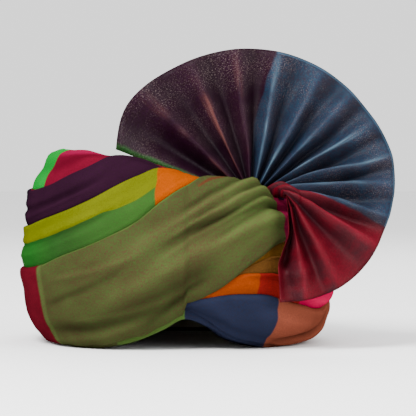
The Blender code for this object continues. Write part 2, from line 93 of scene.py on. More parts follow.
class Curve:
    """Smooth curve through rows of numbers that doesn't overshoot between them."""

    def __init__(self, xs: list[float], ys: list[float], period: float = 0.0) -> None:
        """Keep the rows and work out the slope at each.

        Args:
            xs: Where the rows stand, rising.
            ys: Their values.
            period: The turn after which the curve repeats, or 0.
        """
        if period:
            xs = [x - period for x in xs[-3:]] + xs + [x + period for x in xs[:3]]
            ys = ys[-3:] + ys + ys[:3]
        self.xs, self.ys, self.period = xs, ys, period
        rates = [(b - a) / (q - p) for a, b, p, q in zip(ys, ys[1:], xs, xs[1:])]
        inner = [0.0 if a * b <= 0 else 2 * a * b / (a + b) for a, b in zip(rates, rates[1:])]
        self.slopes = [rates[0], *inner, rates[-1]]

    def __call__(self, x: float) -> float:
        """Read the curve.

        Args:
            x: Where to read it. Past either end it stays level.

        Returns:
            Its value there.
        """
        if self.period:
            x = (x + self.period / 2) % self.period - self.period / 2
        i = max(0, min(len(self.xs) - 2, bisect_right(self.xs, x) - 1))
        step = self.xs[i + 1] - self.xs[i]
        u = min(max((x - self.xs[i]) / step, 0.0), 1.0)
        a, b = self.slopes[i] * step, self.slopes[i + 1] * step
        rise = self.ys[i + 1] - self.ys[i]
        return self.ys[i] + u * (a + u * (3 * rise - 2 * a - b + u * (a + b - 2 * rise)))


def curves(names: str, rows: tuple[tuple[float, ...], ...], period: float = 0.0) -> dict[str, Curve]:
    """Curves over a table whose first column says where each row stands.

    Args:
        names: The other columns' names.
        rows: The table.
        period: The turn after which the table repeats, or 0.

    Returns:
        A curve for each column's name.
    """
    xs = [row[0] for row in rows]
    columns = enumerate(names.split(), start=1)
    return {name: Curve(xs, [row[k] for row in rows], period) for k, name in columns}


class Edge(Enum):
    """The edges between the wound wraps, named as in the tables below."""

    RIM = "rim"
    OLIVE_LOW = "olive_low"
    OLIVE_TOP = "olive_top"
    LIME_TOP = "lime_top"
    PURPLE_TOP = "purple_top"
    BLUE_TOP = "blue_top"
    ORANGE_TOP = "orange_top"
    OCHRE_TOP = "ochre_top"


# Share of the wall's height; reach plain and behind the standing lip; rise from rim to crest
OUTLINE = curves("reach lip_reach rise", (
    (0.00, 0.840, 0.840, 0.00), (0.07, 0.905, 0.905, 0.055), (0.20, 0.960, 0.960, 0.19),
    (0.41, 1.000, 1.000, 0.41), (0.60, 0.975, 0.980, 0.60), (0.80, 0.945, 0.950, 0.80),
    (0.91, 0.885, 0.905, 0.92), (0.98, 0.820, 0.855, 0.99), (1.05, 0.740, 0.785, 1.00),
    (1.20, 0.665, 0.700, 1.00), (1.35, 0.600, 0.600, 1.00)))

# Azimuth; heights of rim, foot, crest, pocket behind the crest and inner lip (millimetres); upper
# edges of the wraps as shares of the height; how high two wraps are tucked in
BODY = curves("rim foot crest pocket lip olive_low olive_top lime_top purple_top olive_tuck lime_tuck", (
    (-176, 3.6, 0, 140.0, 0.0, 117.0, 0.00, 0.520, 0.670, 0.910, 0.42, 0.69),
    (-150, 3.6, 0, 146.0, 0.0, 120.0, 0.00, 0.450, 0.630, 0.870, 0.37, 0.65),
    (-120, 3.6, 0, 151.0, 0.0, 123.0, 0.00, 0.400, 0.600, 0.820, 0.34, 0.63),
    (-90, 3.6, 0, 152.0, 0.0, 124.0, 0.00, 0.380, 0.600, 0.800, 0.34, 0.63),
    (-68, 3.6, 0, 152.0, 0.0, 124.0, 0.00, 0.385, 0.610, 0.800, 0.35, 0.63),
    (-50, 4.0, 0, 152.0, 0.0, 124.0, 0.00, 0.410, 0.655, 0.825, 0.38, 0.67),
    (-38, 5.0, 0, 151.0, 0.0, 123.0, 0.00, 0.465, 0.705, 0.885, 0.42, 0.70),
    (-29, 6.5, 1, 149.0, 0.0, 122.0, 0.00, 0.515, 0.765, 0.945, 0.46, 0.73),
    (-20, 11.0, 4, 147.0, 0.0, 121.0, 0.00, 0.575, 0.840, 1.015, 0.51, 0.76),
    (-12, 17.0, 9, 143.0, 0.0, 119.0, 0.00, 0.655, 0.920, 1.050, 0.56, 0.80),
    (-4, 24.0, 16, 138.0, 0.0, 117.0, 0.02, 0.800, 1.000, 1.080, 0.62, 0.83),
    (4, 33.0, 24, 135.0, 2.0, 115.0, 0.05, 0.905, 1.050, 1.100, 0.67, 0.85),
    (13, 26.0, 18, 132.0, 14.0, 113.0, 0.20, 1.010, 1.085, 1.120, 0.71, 0.86),
    (22, 14.0, 8, 130.5, 25.0, 112.0, 0.42, 1.040, 1.090, 1.155, 0.72, 0.86),
    (31, 9.0, 3, 128.5, 26.0, 111.5, 0.56, 1.050, 1.090, 1.155, 0.72, 0.86),
    (40, 6.0, 0, 115.0, 12.5, 111.0, 0.71, 1.050, 1.090, 1.155, 0.72, 0.86),
    (49, 4.5, 0, 111.5, 8.0, 110.5, 0.75, 1.050, 1.090, 1.155, 0.72, 0.86),
    (58, 3.6, 0, 111.0, 5.5, 110.0, 0.76, 1.050, 1.090, 1.155, 0.72, 0.86),
    (76, 3.6, 0, 112.0, 2.0, 110.0, 0.76, 1.040, 1.090, 1.155, 0.72, 0.86),
    (94, 3.6, 0, 114.0, 0.0, 110.5, 0.76, 1.030, 1.085, 1.150, 0.72, 0.86),
    (112, 3.6, 0, 119.0, 0.0, 111.0, 0.71, 0.970, 1.060, 1.130, 0.70, 0.86),
    (130, 3.6, 0, 126.0, 0.0, 113.0, 0.55, 0.850, 0.980, 1.080, 0.66, 0.84),
    (148, 3.6, 0, 132.0, 0.0, 114.5, 0.34, 0.710, 0.850, 1.030, 0.57, 0.78),
    (166, 3.6, 0, 136.5, 0.0, 116.0, 0.13, 0.580, 0.730, 0.950, 0.49, 0.73),
    (175, 3.6, 0, 139.0, 0.0, 117.0, 0.04, 0.540, 0.690, 0.920, 0.45, 0.70)), 360.0)

# Azimuth; upper edges of the wraps that show only on the wearer's left
LEFT = curves("blue_top orange_top ochre_top", (
    (4, 0.05, 0.05, 0.05), (13, 0.165, 0.20, 0.20), (22, 0.265, 0.395, 0.42), (31, 0.29, 0.425, 0.525),
    (40, 0.29, 0.46, 0.60), (49, 0.275, 0.49, 0.63), (58, 0.25, 0.495, 0.63), (67, 0.24, 0.50, 0.63),
    (80, 0.29, 0.50, 0.63), (94, 0.35, 0.50, 0.63),
    (112, 0.35, 0.49, 0.61), (121, 0.33, 0.47, 0.57), (130, 0.29, 0.42, 0.51), (139, 0.24, 0.36, 0.445),
    (148, 0.20, 0.34, 0.34), (157, 0.16, 0.23, 0.23), (166, 0.13, 0.13, 0.13), (175, 0.04, 0.04, 0.04)))

# How high each edge's cloth is tucked in, as a share of the inner band's height
TUCK = {Edge.BLUE_TOP: 0.14, Edge.ORANGE_TOP: 0.27, Edge.OCHRE_TOP: 0.40, Edge.OLIVE_LOW: 0.54,
        Edge.PURPLE_TOP: 1.0}
LEFT_EDGES = (Edge.BLUE_TOP, Edge.ORANGE_TOP, Edge.OCHRE_TOP, Edge.OLIVE_LOW)

# Direction; reach; root; how far the rim lies behind it; where the cloth is gathered; roll over the lip
RIBS = curves("reach root_x root_y root_z back gather_x gather_y gather_z roll", (
    (-93, 84.5, 87.5, -116.0, 122.4, -14.0, 86.0, -111.0, 120.0, 0),
    (-78, 84.0, 87.0, -115.0, 122.4, -14.0, 86.0, -110.0, 120.0, 0),
    (-51, 83.0, 87.0, -112.0, 122.4, -11.0, 85.0, -106.0, 120.0, 20),
    (-25, 81.0, 86.5, -106.0, 122.4, -6.0, 82.0, -99.0, 121.0, 50),
    (0, 92.5, 78.0, -92.0, 123.0, -3.0, 73.0, -86.0, 120.7, 68),
    (19, 106.0, 68.0, -83.0, 119.5, 1.0, 64.0, -78.5, 114.8, 50),
    (44, 114.0, 60.5, -80.0, 116.0, 9.0, 59.0, -79.0, 109.4, 15),
    (65, 116.5, 60.0, -80.0, 115.6, 14.0, 58.0, -80.0, 108.9, 0),
    (93, 118.0, 60.0, -80.0, 115.6, 16.0, 58.0, -80.0, 108.9, 0),
    (116, 119.0, 60.0, -80.0, 115.6, 15.0, 58.0, -80.0, 108.9, 0),
    (141, 122.5, 60.0, -80.0, 115.6, 11.0, 58.0, -80.0, 108.9, 0),
    (160, 113.0, 60.0, -80.0, 115.6, 8.0, 58.0, -80.0, 108.9, 0)))
CRESTS = (160, 136, 115, 96, 79, 61, 46, 32, 17, 3, -13, -31, -61, -80, -93)
LOOSE_EDGE = Curve([0.0, 0.25, 0.46, 0.62, 0.8, 1.0], [0.0, 1.0, -3.0, -6.0, -4.5, -3.0])
PLEAT_DEPTH = Curve([0.0, 0.25, 0.5, 0.8, 1.0], [3.4, 6.0, 7.2, 4.6, 2.2])
PLEAT_SHAPE = Curve([0.0, 0.10, 0.30, 0.50, 0.68, 0.88, 1.0], [1.0, 0.86, 0.05, -1.0, -0.62, 0.45, 1.0])


def smooth(x: float) -> float:
    """Ease from 0 to 1."""
    x = min(max(x, 0.0), 1.0)
    return x * x * (3 - 2 * x)


def swell(v: float, power: float) -> float:
    """1 in the middle of a wrap and 0 at both of its edges."""
    return (4 * v * (1 - v)) ** power


def waver(x: float, y: float, z: float) -> float:
    """Noise at a point, from about -1 to 1 and the same in each run."""
    return noise.noise(Vector((x, y, z)))


def on_left(azimuth: float) -> bool:
    """Whether the left-hand wraps show here."""
    return LEFT_START <= azimuth <= LEFT_END


def plan(azimuth: float) -> float:
    """Plan of the body.

    Args:
        azimuth: Degrees from the front towards the wearer's left.

    Returns:
        Its radius there, in millimetres.
    """
    a = math.radians(azimuth)
    side, ahead = abs(math.sin(a)) / HALF_WIDTH, abs(math.cos(a)) / HALF_LENGTH
    return (side ** PLAN_POWER + ahead ** PLAN_POWER) ** (-1 / PLAN_POWER)


def oval(azimuth: float, grow: float = 0.0) -> float:
    """Radius of the head's oval, grown evenly."""
    a = math.radians(azimuth)
    return 1 / math.hypot(math.sin(a) / (HEAD_HALF_WIDTH + grow), math.cos(a) / (HEAD_HALF_LENGTH + grow))


def cap_top(share: float) -> float:
    """Height of the crown's upper face at a share of its reach."""
    return CORE_TOP + GAP + CAP_THICKNESS + CAP_RISE * max(0.0, 1 - share * share) ** CAP_ROUND


@lru_cache(maxsize=None)
def around(name: str, azimuth: float) -> float:
    """A column of the body's table."""
    return BODY[name](azimuth)


@lru_cache(maxsize=None)
def outline(azimuth: float, up: float) -> Point:
    """Outline of the body at a share of the wall's height.

    Args:
        azimuth: Degrees from the front towards the wearer's left.
        up: Share of the height, over 1 behind the crest.

    Returns:
        Radius and height in millimetres.
    """
    rim, crest = around("rim", azimuth), around("crest", azimuth)
    pocket, lip = around("pocket", azimuth), around("lip", azimuth)
    plain, behind = OUTLINE["reach"](up), OUTLINE["lip_reach"](up)
    radius = plan(azimuth) * (plain + (behind - plain) * smooth(pocket / FULL_POCKET))
    height = rim + OUTLINE["rise"](up) * (crest - rim)
    height -= pocket * smooth((up - CREST_END) / (SLOPE_START - CREST_END))
    if up > SLOPE_START:
        share = (up - SLOPE_START) / (LIP_UP - SLOPE_START)
        foot = crest - pocket
        height = foot + (lip - foot) * share ** SLOPE_POWER
        wall_end = plan(azimuth) * OUTLINE["reach"](LIP_UP)
        radius += (LIP_SHARE * oval(azimuth, CAP_OVERHANG) - wall_end) * share
    return radius, height


def normal(azimuth: float, up: float) -> Point:
    """The way the outline faces in the section.

    Args:
        azimuth: Degrees from the front towards the wearer's left.
        up: Share of the wall's height.

    Returns:
        Outward direction of length 1: radius and height.
    """
    low, high = outline(azimuth, max(0.0, up - 0.02)), outline(azimuth, min(LIP_UP, up + 0.02))
    out, rise = high[0] - low[0], high[1] - low[1]
    size = math.hypot(out, rise)
    return rise / size, -out / size


def edge(which: Edge, azimuth: float) -> float:
    """Where an edge lies on the wall.

    Args:
        which: The edge.
        azimuth: Degrees from the front towards the wearer's left.

    Returns:
        Its share of the wall's height.
    """
    if which is Edge.RIM:
        return 0.0
    if which.value in LEFT and on_left(azimuth):
        return min(LEFT[which.value](azimuth), around("olive_low", azimuth))
    return around(which.value, azimuth)


def tuck_height(which: Edge, azimuth: float) -> float:
    """Where an edge's cloth meets the inner band.

    Args:
        which: The edge.
        azimuth: Degrees from the front towards the wearer's left.

    Returns:
        Its height in millimetres.
    """
    rim = around("rim", azimuth) + RIM_TUCK
    if which is Edge.RIM:
        return rim
    if which in (Edge.OLIVE_TOP, Edge.LIME_TOP):
        share = around(which.value.replace("_top", "_tuck"), azimuth)
    else:
        share = TUCK[which]
    if which in LEFT_EDGES:
        share *= smooth((azimuth - BLUE_START) / BLUE_FADE) * smooth((BLUE_END - azimuth) / BLUE_FADE)
    return rim + (CORE_TOP - TUCK_BELOW - rim) * share


def tuck(which: Edge, azimuth: float, side: float) -> list[Point]:
    """Section curve between two wraps, from the outside in.

    Args:
        which: The edge.
        azimuth: Where the section is.
        side: -1 for the wrap below, 1 for the wrap above, 0 for the middle.

    Returns:
        Points of the section, in millimetres.
    """
    start = outline(azimuth, edge(which, azimuth))
    end = (oval(azimuth, CORE_THICKNESS) + GAP, tuck_height(which, azimuth))
    drop = start[1] - end[1]
    depth = min(TUCK_DEPTH, 0.4 * abs(start[0] - end[0]))
    fall = min(TUCK_FALL, 0.8 * drop) if drop > 0 else 0.3 * drop
    if which is Edge.OLIVE_LOW:
        depth, fall = 0.5 * (start[0] - end[0]), 0.2 * drop
    middle = (max(start[0] - depth, end[0] + TUCK_CLEAR), start[1] - fall)
    room = GAP / 2
    if which in LEFT_EDGES:
        room += EXTRA_ROOM * max(0.0, 1 - min(azimuth - LEFT_START, LEFT_END - azimuth) / ROOM_FADES)
    points = []
    for k in range(TUCK_POINTS):
        t = k / (TUCK_POINTS - 1)
        at = [start[j] * (1 - t) ** 2 + middle[j] * 2 * t * (1 - t) + end[j] * t * t for j in (0, 1)]
        along = [(middle[j] - start[j]) * (1 - t) + (end[j] - middle[j]) * t for j in (0, 1)]
        size = math.hypot(*along) or 1.0
        across = (along[1] / size, -along[0] / size) if k < TUCK_POINTS - 1 else (0.0, 1.0)
        points.append((at[0] + across[0] * side * room, at[1] + across[1] * side * room))
    return points


def place(azimuth: float, point: Point) -> Place:
    """A section's point in space, in metres."""
    a = math.radians(azimuth)
    return ((point[0] * math.sin(a) + HEAD_X) * MM, (-point[0] * math.cos(a) + HEAD_Y) * MM, point[1] * MM)


@dataclass(frozen=True)
class Fold:
    """A fold or crease that runs along a wrap, from one azimuth to another.

    Its places and its width are shares of the way across the wrap, and its height is in millimetres.
    """

    start: float
    end: float
    at_start: float
    at_end: float
    width: float
    height: float
    fade_in: float = 0.25
    fade_out: float = 0.18

    def rise(self, azimuth: float, v: float) -> float:
        """How far the fold lifts the cloth.

        Args:
            azimuth: Where on the turn, in degrees.
            v: Place across the wrap, from 0 to 1.

        Returns:
            The lift in millimetres, below 0 in a crease.
        """
        turn = azimuth if azimuth >= self.start else azimuth + 360
        share = (turn - self.start) / (self.end - self.start)
        if not 0 < share < 1:
            return 0.0
        window = smooth(share / self.fade_in) * smooth((1 - share) / self.fade_out)
        at = self.at_start + (self.at_end - self.at_start) * share
        return self.height * window * math.exp(-((v - at) / self.width) ** 2)


@dataclass(frozen=True)
class Crumple:
    """Unevenness of wound cloth, as broad waves and fine ones.

    Each of the two holds its waves round the head, its waves across the wrap and its height in millimetres.
    """

    seed: float
    broad: tuple[float, float, float] = (2.2, 3.4, 0.72)
    fine: tuple[float, float, float] = (7.0, 11.0, 0.315)

    def rise(self, azimuth: float, v: float) -> float:
        """How far the cloth is lifted.

        Args:
            azimuth: Where on the turn, in degrees.
            v: Place across the wrap, from 0 to 1.

        Returns:
            The lift in millimetres.
        """
        a = math.radians(azimuth)
        x, y = math.cos(a), math.sin(a)
        return sum(height * waver(x * turns, y * turns, v * rows + self.seed)
                   for turns, rows, height in (self.broad, self.fine))


class Value:
    """A socket whose sums and products add their own nodes."""

    def __init__(self, shader: "Shader", socket: bpy.types.NodeSocket) -> None:
        """Keep the shader and the socket."""
        self.shader, self.socket = shader, socket

    def math(self, operation: str, *others: "Value | float") -> "Value":
        """Join this value with others through one Math node."""
        made = self.shader.node("ShaderNodeMath", {"operation": operation}, dict(enumerate((self, *others))))
        return Value(self.shader, made.outputs[0])

    def __add__(self, other: "Value | float") -> "Value":
        """Sum."""
        return self.math("ADD", other)

    __radd__ = __add__

    def __mul__(self, other: "Value | float") -> "Value":
        """Product."""
        return self.math("MULTIPLY", other)

    __rmul__ = __mul__

    def __sub__(self, other: "Value | float") -> "Value":
        """Difference."""
        return self.math("SUBTRACT", other)

    def __rsub__(self, other: float) -> "Value":
        """Difference from a number."""
        return (self * -1.0) + other

    def held(self) -> "Value":
        """Kept between 0 and 1."""
        return self.math("MAXIMUM", 0.0).math("MINIMUM", 1.0)

    def above(self, edge_at: float, soft: float) -> "Value":
        """0 below an edge and 1 above it, over a soft width."""
        return ((self - (edge_at - soft / 2)) * (1 / soft)).held()

    def between(self, low: float, high: float, soft: float) -> "Value":
        """1 between two edges."""
        return self.above(low, soft) * (1 - self.above(high, soft))


class Shader:
    """One material and the nodes that feed its surface."""

    def __init__(self, name: str) -> None:
        """Start an empty node material.

        Args:
            name: The material's name.
        """
        self.material = bpy.data.materials.new(name)
        self.material.use_nodes = True
        self.tree = self.material.node_tree
        self.tree.nodes.clear()

    def node(self, kind: str, settings: dict, values: dict) -> bpy.types.Node:
        """Add a node.

        Args:
            kind: The node's type.
            settings: Its options, set first.
            values: Numbers or links for its sockets.

        Returns:
            The node.
        """
        made = self.tree.nodes.new(kind)
        for key, value in settings.items():
            setattr(made, key, value)
        for key, value in values.items():
            if isinstance(value, Value):
                self.tree.links.new(value.socket, made.inputs[key])
            else:
                made.inputs[key].default_value = value
        return made

    def uv(self, layer: str) -> tuple[Value, Value]:
        """Read a layer of the mesh.

        Args:
            layer: Its name.

        Returns:
            Both of its numbers.
        """
        source = self.node("ShaderNodeUVMap", {"uv_map": layer}, {})
        parts = self.node("ShaderNodeSeparateXYZ", {}, {0: Value(self, source.outputs[0])})
        return Value(self, parts.outputs[0]), Value(self, parts.outputs[1])

    def grain(self, x: Value, y: Value, detail: float = 2.0) -> Value:
        """Flat noise over two numbers.

        Args:
            x: The first number, in grains.
            y: The second.
            detail: How many finer layers it has.

        Returns:
            The noise, from 0 to 1.
        """
        at = self.node("ShaderNodeCombineXYZ", {}, {0: x, 1: y})
        values = {"Vector": Value(self, at.outputs[0]), "Scale": 1.0, "Detail": detail, "Roughness": 0.6}
        made = self.node("ShaderNodeTexNoise", {"noise_dimensions": "2D"}, values)
        return Value(self, made.outputs[0])

    def threads(self, along: Value, over: Value, fine: float, coarse: float) -> tuple[Value, Value]:
        """Grain drawn out one way and the other, as warp and weft."""
        return self.grain(along * fine, over * coarse), self.grain(along * coarse, over * fine)

    def mix(self, factor: "Value | float", first: "Value | Colour", second: "Value | Colour",
            blend: str = "MIX") -> Value:
        """Mix two colours.

        Args:
            factor: Share of the second.
            first: The first colour.
            second: The second colour.
            blend: How the second is laid on.

        Returns:
            The mixed colour.
        """
        first, second = [c if isinstance(c, Value) else (*c, 1.0) for c in (first, second)]
        made = self.node("ShaderNodeMix", {"data_type": "RGBA", "blend_type": blend},
                         {0: factor, 6: first, 7: second})
        return Value(self, made.outputs[2])

    def toned(self, colour: Value, tone_and_painted_light: Value) -> Value:
        """A colour made darker or lighter by a tone."""
        grey = self.node("ShaderNodeCombineColor", {}, {0: tone_and_painted_light, 1: tone_and_painted_light, 2: tone_and_painted_light})
        return self.mix(1.0, colour, Value(self, grey.outputs[0]), "MULTIPLY")

    def finish(self, values: dict) -> bpy.types.Material:
        """Add the surface.

        Args:
            values: Numbers or links for the surface's sockets.

        Returns:
            The material.
        """
        body = self.node("ShaderNodeBsdfPrincipled", {}, values)
        self.node("ShaderNodeOutputMaterial", {}, {0: Value(self, body.outputs[0])})
        return self.material

    def woven(self, colour: Value, rough: Value, height: Value, depth: float,
              gloss: float) -> bpy.types.Material:
        """Add a cloth surface with the relief of its threads.

        Args:
            colour: Base colour.
            rough: Roughness.
            height: What the bump reads.
            depth: The bump's depth in metres.
            gloss: Specular level.

        Returns:
            The material.
        """
        bump = self.node("ShaderNodeBump", {}, {"Strength": 1.0, "Distance": depth, "Height": height})
        return self.finish({"Base Color": colour, "Roughness": rough, "Normal": Value(self, bump.outputs[0]),
                            "Specular IOR Level": gloss})


@dataclass(frozen=True)
class Dye:
    """The colours of the threads one way and the other."""

    warp: Colour
    weft: Colour

    def woven(self, shader: Shader, weave: Value) -> Value:
        """Both colours mixed by the weave."""
        return shader.mix(weave, self.warp, self.weft)


class Dyes(Enum):
    """The cloth's checks, and the colours of the light painted on it."""

    OLIVE = Dye((0.024, 0.046, 0.011), (0.038, 0.020, 0.011))
    # A paler olive: painted light on the upper part of the swath, and a narrow stripe of the check beside the
    # maroon
    OLIVE_STRIPE_AND_PAINTED_LIGHT = Dye((0.033, 0.066, 0.014), (0.046, 0.034, 0.015))
    MAROON = Dye((0.062, 0.003, 0.007), (0.048, 0.003, 0.006))
    LIME = Dye((0.076, 0.088, 0.002), (0.064, 0.070, 0.003))
    GREEN = Dye((0.010, 0.042, 0.007), (0.013, 0.030, 0.008))
    LEAF = Dye((0.018, 0.066, 0.010), (0.024, 0.050, 0.011))
    BRIGHT_GREEN = Dye((0.008, 0.066, 0.008), (0.008, 0.048, 0.007))
    HEM = Dye((0.034, 0.080, 0.015), (0.044, 0.060, 0.015))
    RUST = Dye((0.062, 0.020, 0.009), (0.054, 0.014, 0.007))
    MINT = Dye((0.000, 0.165, 0.018), (0.000, 0.140, 0.015))
    ORANGE = Dye((0.205, 0.034, 0.000), (0.172, 0.028, 0.000))
    AMBER = Dye((0.165, 0.026, 0.003), (0.132, 0.020, 0.003))
    BROWN = Dye((0.044, 0.015, 0.002), (0.028, 0.009, 0.002))
    PLUM = Dye((0.014, 0.003, 0.011), (0.012, 0.004, 0.008))
    NAVY = Dye((0.005, 0.002, 0.006), (0.004, 0.002, 0.005))
    CRIMSON = Dye((0.094, 0.003, 0.013), (0.074, 0.003, 0.009))
    COTTON = Dye((0.300, 0.270, 0.220), (0.260, 0.235, 0.190))
    BLUE = Dye((0.008, 0.013, 0.030), (0.012, 0.011, 0.020))
    COPPER = Dye((0.135, 0.034, 0.018), (0.104, 0.027, 0.016))
    RED = Dye((0.130, 0.006, 0.005), (0.098, 0.005, 0.005))
    PINK = Dye((0.240, 0.001, 0.030), (0.200, 0.001, 0.024))
    # Painted highlight along the top of the crown's roll
    PINK_PAINTED_HIGHLIGHT = Dye((0.160, 0.003, 0.028), (0.135, 0.003, 0.022))
    ROSE = Dye((0.110, 0.003, 0.022), (0.080, 0.003, 0.015))
    OCHRE = Dye((0.072, 0.030, 0.006), (0.054, 0.022, 0.006))
    GOLD = Dye((0.088, 0.039, 0.005), (0.062, 0.027, 0.005))
    FAN_GREEN = Dye((0.010, 0.050, 0.009), (0.007, 0.028, 0.006))
    FAN_PLUM = Dye((0.010, 0.001, 0.007), (0.008, 0.001, 0.004))
    FAN_BLUE = Dye((0.005, 0.019, 0.036), (0.011, 0.010, 0.021))
    FAN_RED = Dye((0.066, 0.001, 0.005), (0.048, 0.001, 0.004))


@dataclass(frozen=True)
class Check:
    """A block of the check cloth on one wrap, or of painted light on it: azimuths, its dye, and its place
    across the wrap.
    """

    start: float
    end: float
    dye: Dyes
    low: float = 0.0
    high: float = 1.0
    soft: float = 0.0012
    haze: float = 0.012


@dataclass(frozen=True)
class Cloth:
    ground: Dyes
    checks: tuple[Check, ...] = ()
    rough: float = 0.54
    contrast: float = 1.6
    drift: float = 0.0
    uneven: float = 0.44
    fine: float = 1500.0
    coarse: float = 470.0
    depth: float = 0.0007

    def dress(self, name: str) -> bpy.types.Material:
        """Make the woven material.

        Args:
            name: The material's name.

        Returns:
            The material.
        """
        shader = Shader(name)
        turn, across = shader.uv("zone")
        along, over = shader.uv("thread")
        relief, _ = shader.uv("relief")
        warp, weft = shader.threads(along, over, self.fine, self.coarse)
        cloudy = shader.grain(along * 26.0, over * 40.0, 3.0)
        wobble = shader.grain(along * 60.0, over * 60.0, 1.0) - 0.5
        weave = ((warp - weft) * self.contrast + 0.5 - (cloudy - 0.5) * self.drift).held()
        colour = self.ground.value.woven(shader, weave)
        turn = turn + wobble * 0.003
        across = across + wobble * 0.02
        for check in self.checks:
            mask = turn.between(check.start / 360 + 0.5, check.end / 360 + 0.5, check.soft)
            if (check.low, check.high) != (0.0, 1.0):
                mask = mask * across.between(check.low, check.high, check.haze)
            colour = shader.mix(mask, colour, check.dye.value.woven(shader, weave))
        # Random unevenness of the tone, times painted shade in the creases and a painted highlight on the
        # ridges, both set by the relief
        tone_and_painted_light = ((1.0 - self.uneven / 2) + cloudy * self.uneven) * (0.35 + relief * 1.3)
        relief_of_threads = (warp + weft) * 0.5 + cloudy * 0.4
        return shader.woven(shader.toned(colour, tone_and_painted_light), cloudy * 0.16 + self.rough, relief_of_threads,
                            self.depth, 0.0)


@dataclass(frozen=True)
class FanBlock:
    """One block of the fan's check: the pleat where it starts, how that slants, its dye and the colour of its
    painted crest highlight.
    """

    pleat: float
    slant: float
    dye: Dyes
    painted_highlight: Colour


@dataclass(frozen=True)
class FanCloth:
    """Finish of the fan: starched blocks of the check, pale dashes painted as glints, painted highlights on
    the pleat crests and painted shade in its valleys and flanks.
    """

    blocks: tuple[FanBlock, ...]
    ground: Dyes = Dyes.FAN_GREEN
    painted_glint: Colour = (0.190, 0.140, 0.130)
    shadow: Colour = (0.004, 0.002, 0.004)
    shade: Colour = (0.009, 0.005, 0.007)
    hem: Colour = (0.030, 0.058, 0.090)
    rough: float = 0.42
    contrast: float = 2.2
    fine: float = 900.0
    coarse: float = 300.0
    depth: float = 0.0004
    gloss: float = 0.05

    def dress(self, name: str) -> bpy.types.Material:
        """Make the fan's material.

        Args:
            name: The material's name.

        Returns:
            The material.
        """
        shader = Shader(name)
        pleat, out = shader.uv("zone")
        along, over = shader.uv("thread")
        number = pleat * float(len(CRESTS) - 1)
        warp, weft = shader.threads(along, over, self.fine, self.coarse)
        cloudy = shader.grain(along * 24.0, over * 34.0, 3.0)
        weave = ((warp - weft) * self.contrast + 0.5).held()
        block_at = number + (shader.grain(along * 50.0, over * 50.0, 1.0) - 0.5) * 0.12
        colour, painted_highlight_colour, masks = self.ground.value.woven(shader, weave), self.blocks[0].painted_highlight, []
        for block in self.blocks:
            mask = (block_at - out * block.slant).above(block.pleat, 0.06)
            masks.append(mask)
            colour = shader.mix(mask, colour, block.dye.value.woven(shader, weave))
            painted_highlight_colour = shader.mix(mask, painted_highlight_colour, block.painted_highlight)
        # Painted highlights: bright streaks on some of the crests
        ridge = (number.math("FRACT") - 0.5).math("ABSOLUTE") * 2.0
        which = shader.grain(number.math("ROUND") * 3.7, out * 1.6)
        streak = shader.grain(along * 260.0, over * 24.0, 3.0)
        painted_highlight = ridge.above(0.84, 0.28) * which.above(0.52, 0.2) * streak.above(0.48, 0.3)
        colour = shader.mix(painted_highlight * out.between(0.08, 0.86, 0.3) * 0.7, colour, painted_highlight_colour)
        # Painted shade in the valleys near the root, and painted shade on one flank of each pleat
        painted_valley_shade = (1 - ridge).above(0.60, 0.6) * (1 - out.above(0.6, 0.9))
        colour = shader.mix(painted_valley_shade * 0.72, colour, self.shadow)
        flank = number.math("FRACT").between(0.08, 0.46, 0.16)
        flank = flank * shader.grain(along * 40.0, out * 5.0, 2.0).above(0.40, 0.3)
        colour = shader.mix(flank * (0.25 + out * 0.35), colour, self.shade)
        # Painted glints: pale dashes along the starched threads, fewer on the last block
        speck = shader.grain(along * 900.0, over * 1900.0)
        patchy = shader.grain(along * 30.0, over * 36.0, 2.0)
        dash = speck.above(0.635, 0.06) * patchy.above(0.44, 0.25) * (0.08 + out * 0.36)
        colour = shader.mix(dash * (1 - masks[-1] * 0.7), colour, self.painted_glint)
        # Hem along the rim of the middle block
        rim = out.between(0.984, 0.996, 0.004) * masks[1] * (1 - masks[2])
        colour = shader.mix(rim * 0.7, colour, self.hem)
        # Random tone, times a painted highlight towards each crest and painted shade towards each valley
        tone_and_painted_light = (0.62 + cloudy * 0.60) * (0.78 + ridge * 0.34)
        relief_of_threads = (warp + weft) * 0.5 + cloudy * 0.3
        return shader.woven(shader.toned(colour, tone_and_painted_light), self.rough + cloudy * 0.14, relief_of_threads,
                            self.depth, self.gloss)


@dataclass(frozen=True)
class FloorPaint:
    """Plain matt finish of the floor."""

    colour: Colour = (0.9, 0.9, 0.9)
    rough: float = 0.8
    gloss: float = 0.1

    def dress(self, name: str) -> bpy.types.Material:
        """Make the material."""
        return Shader(name).finish({"Base Color": (*self.colour, 1), "Roughness": self.rough,
                                    "Specular IOR Level": self.gloss})


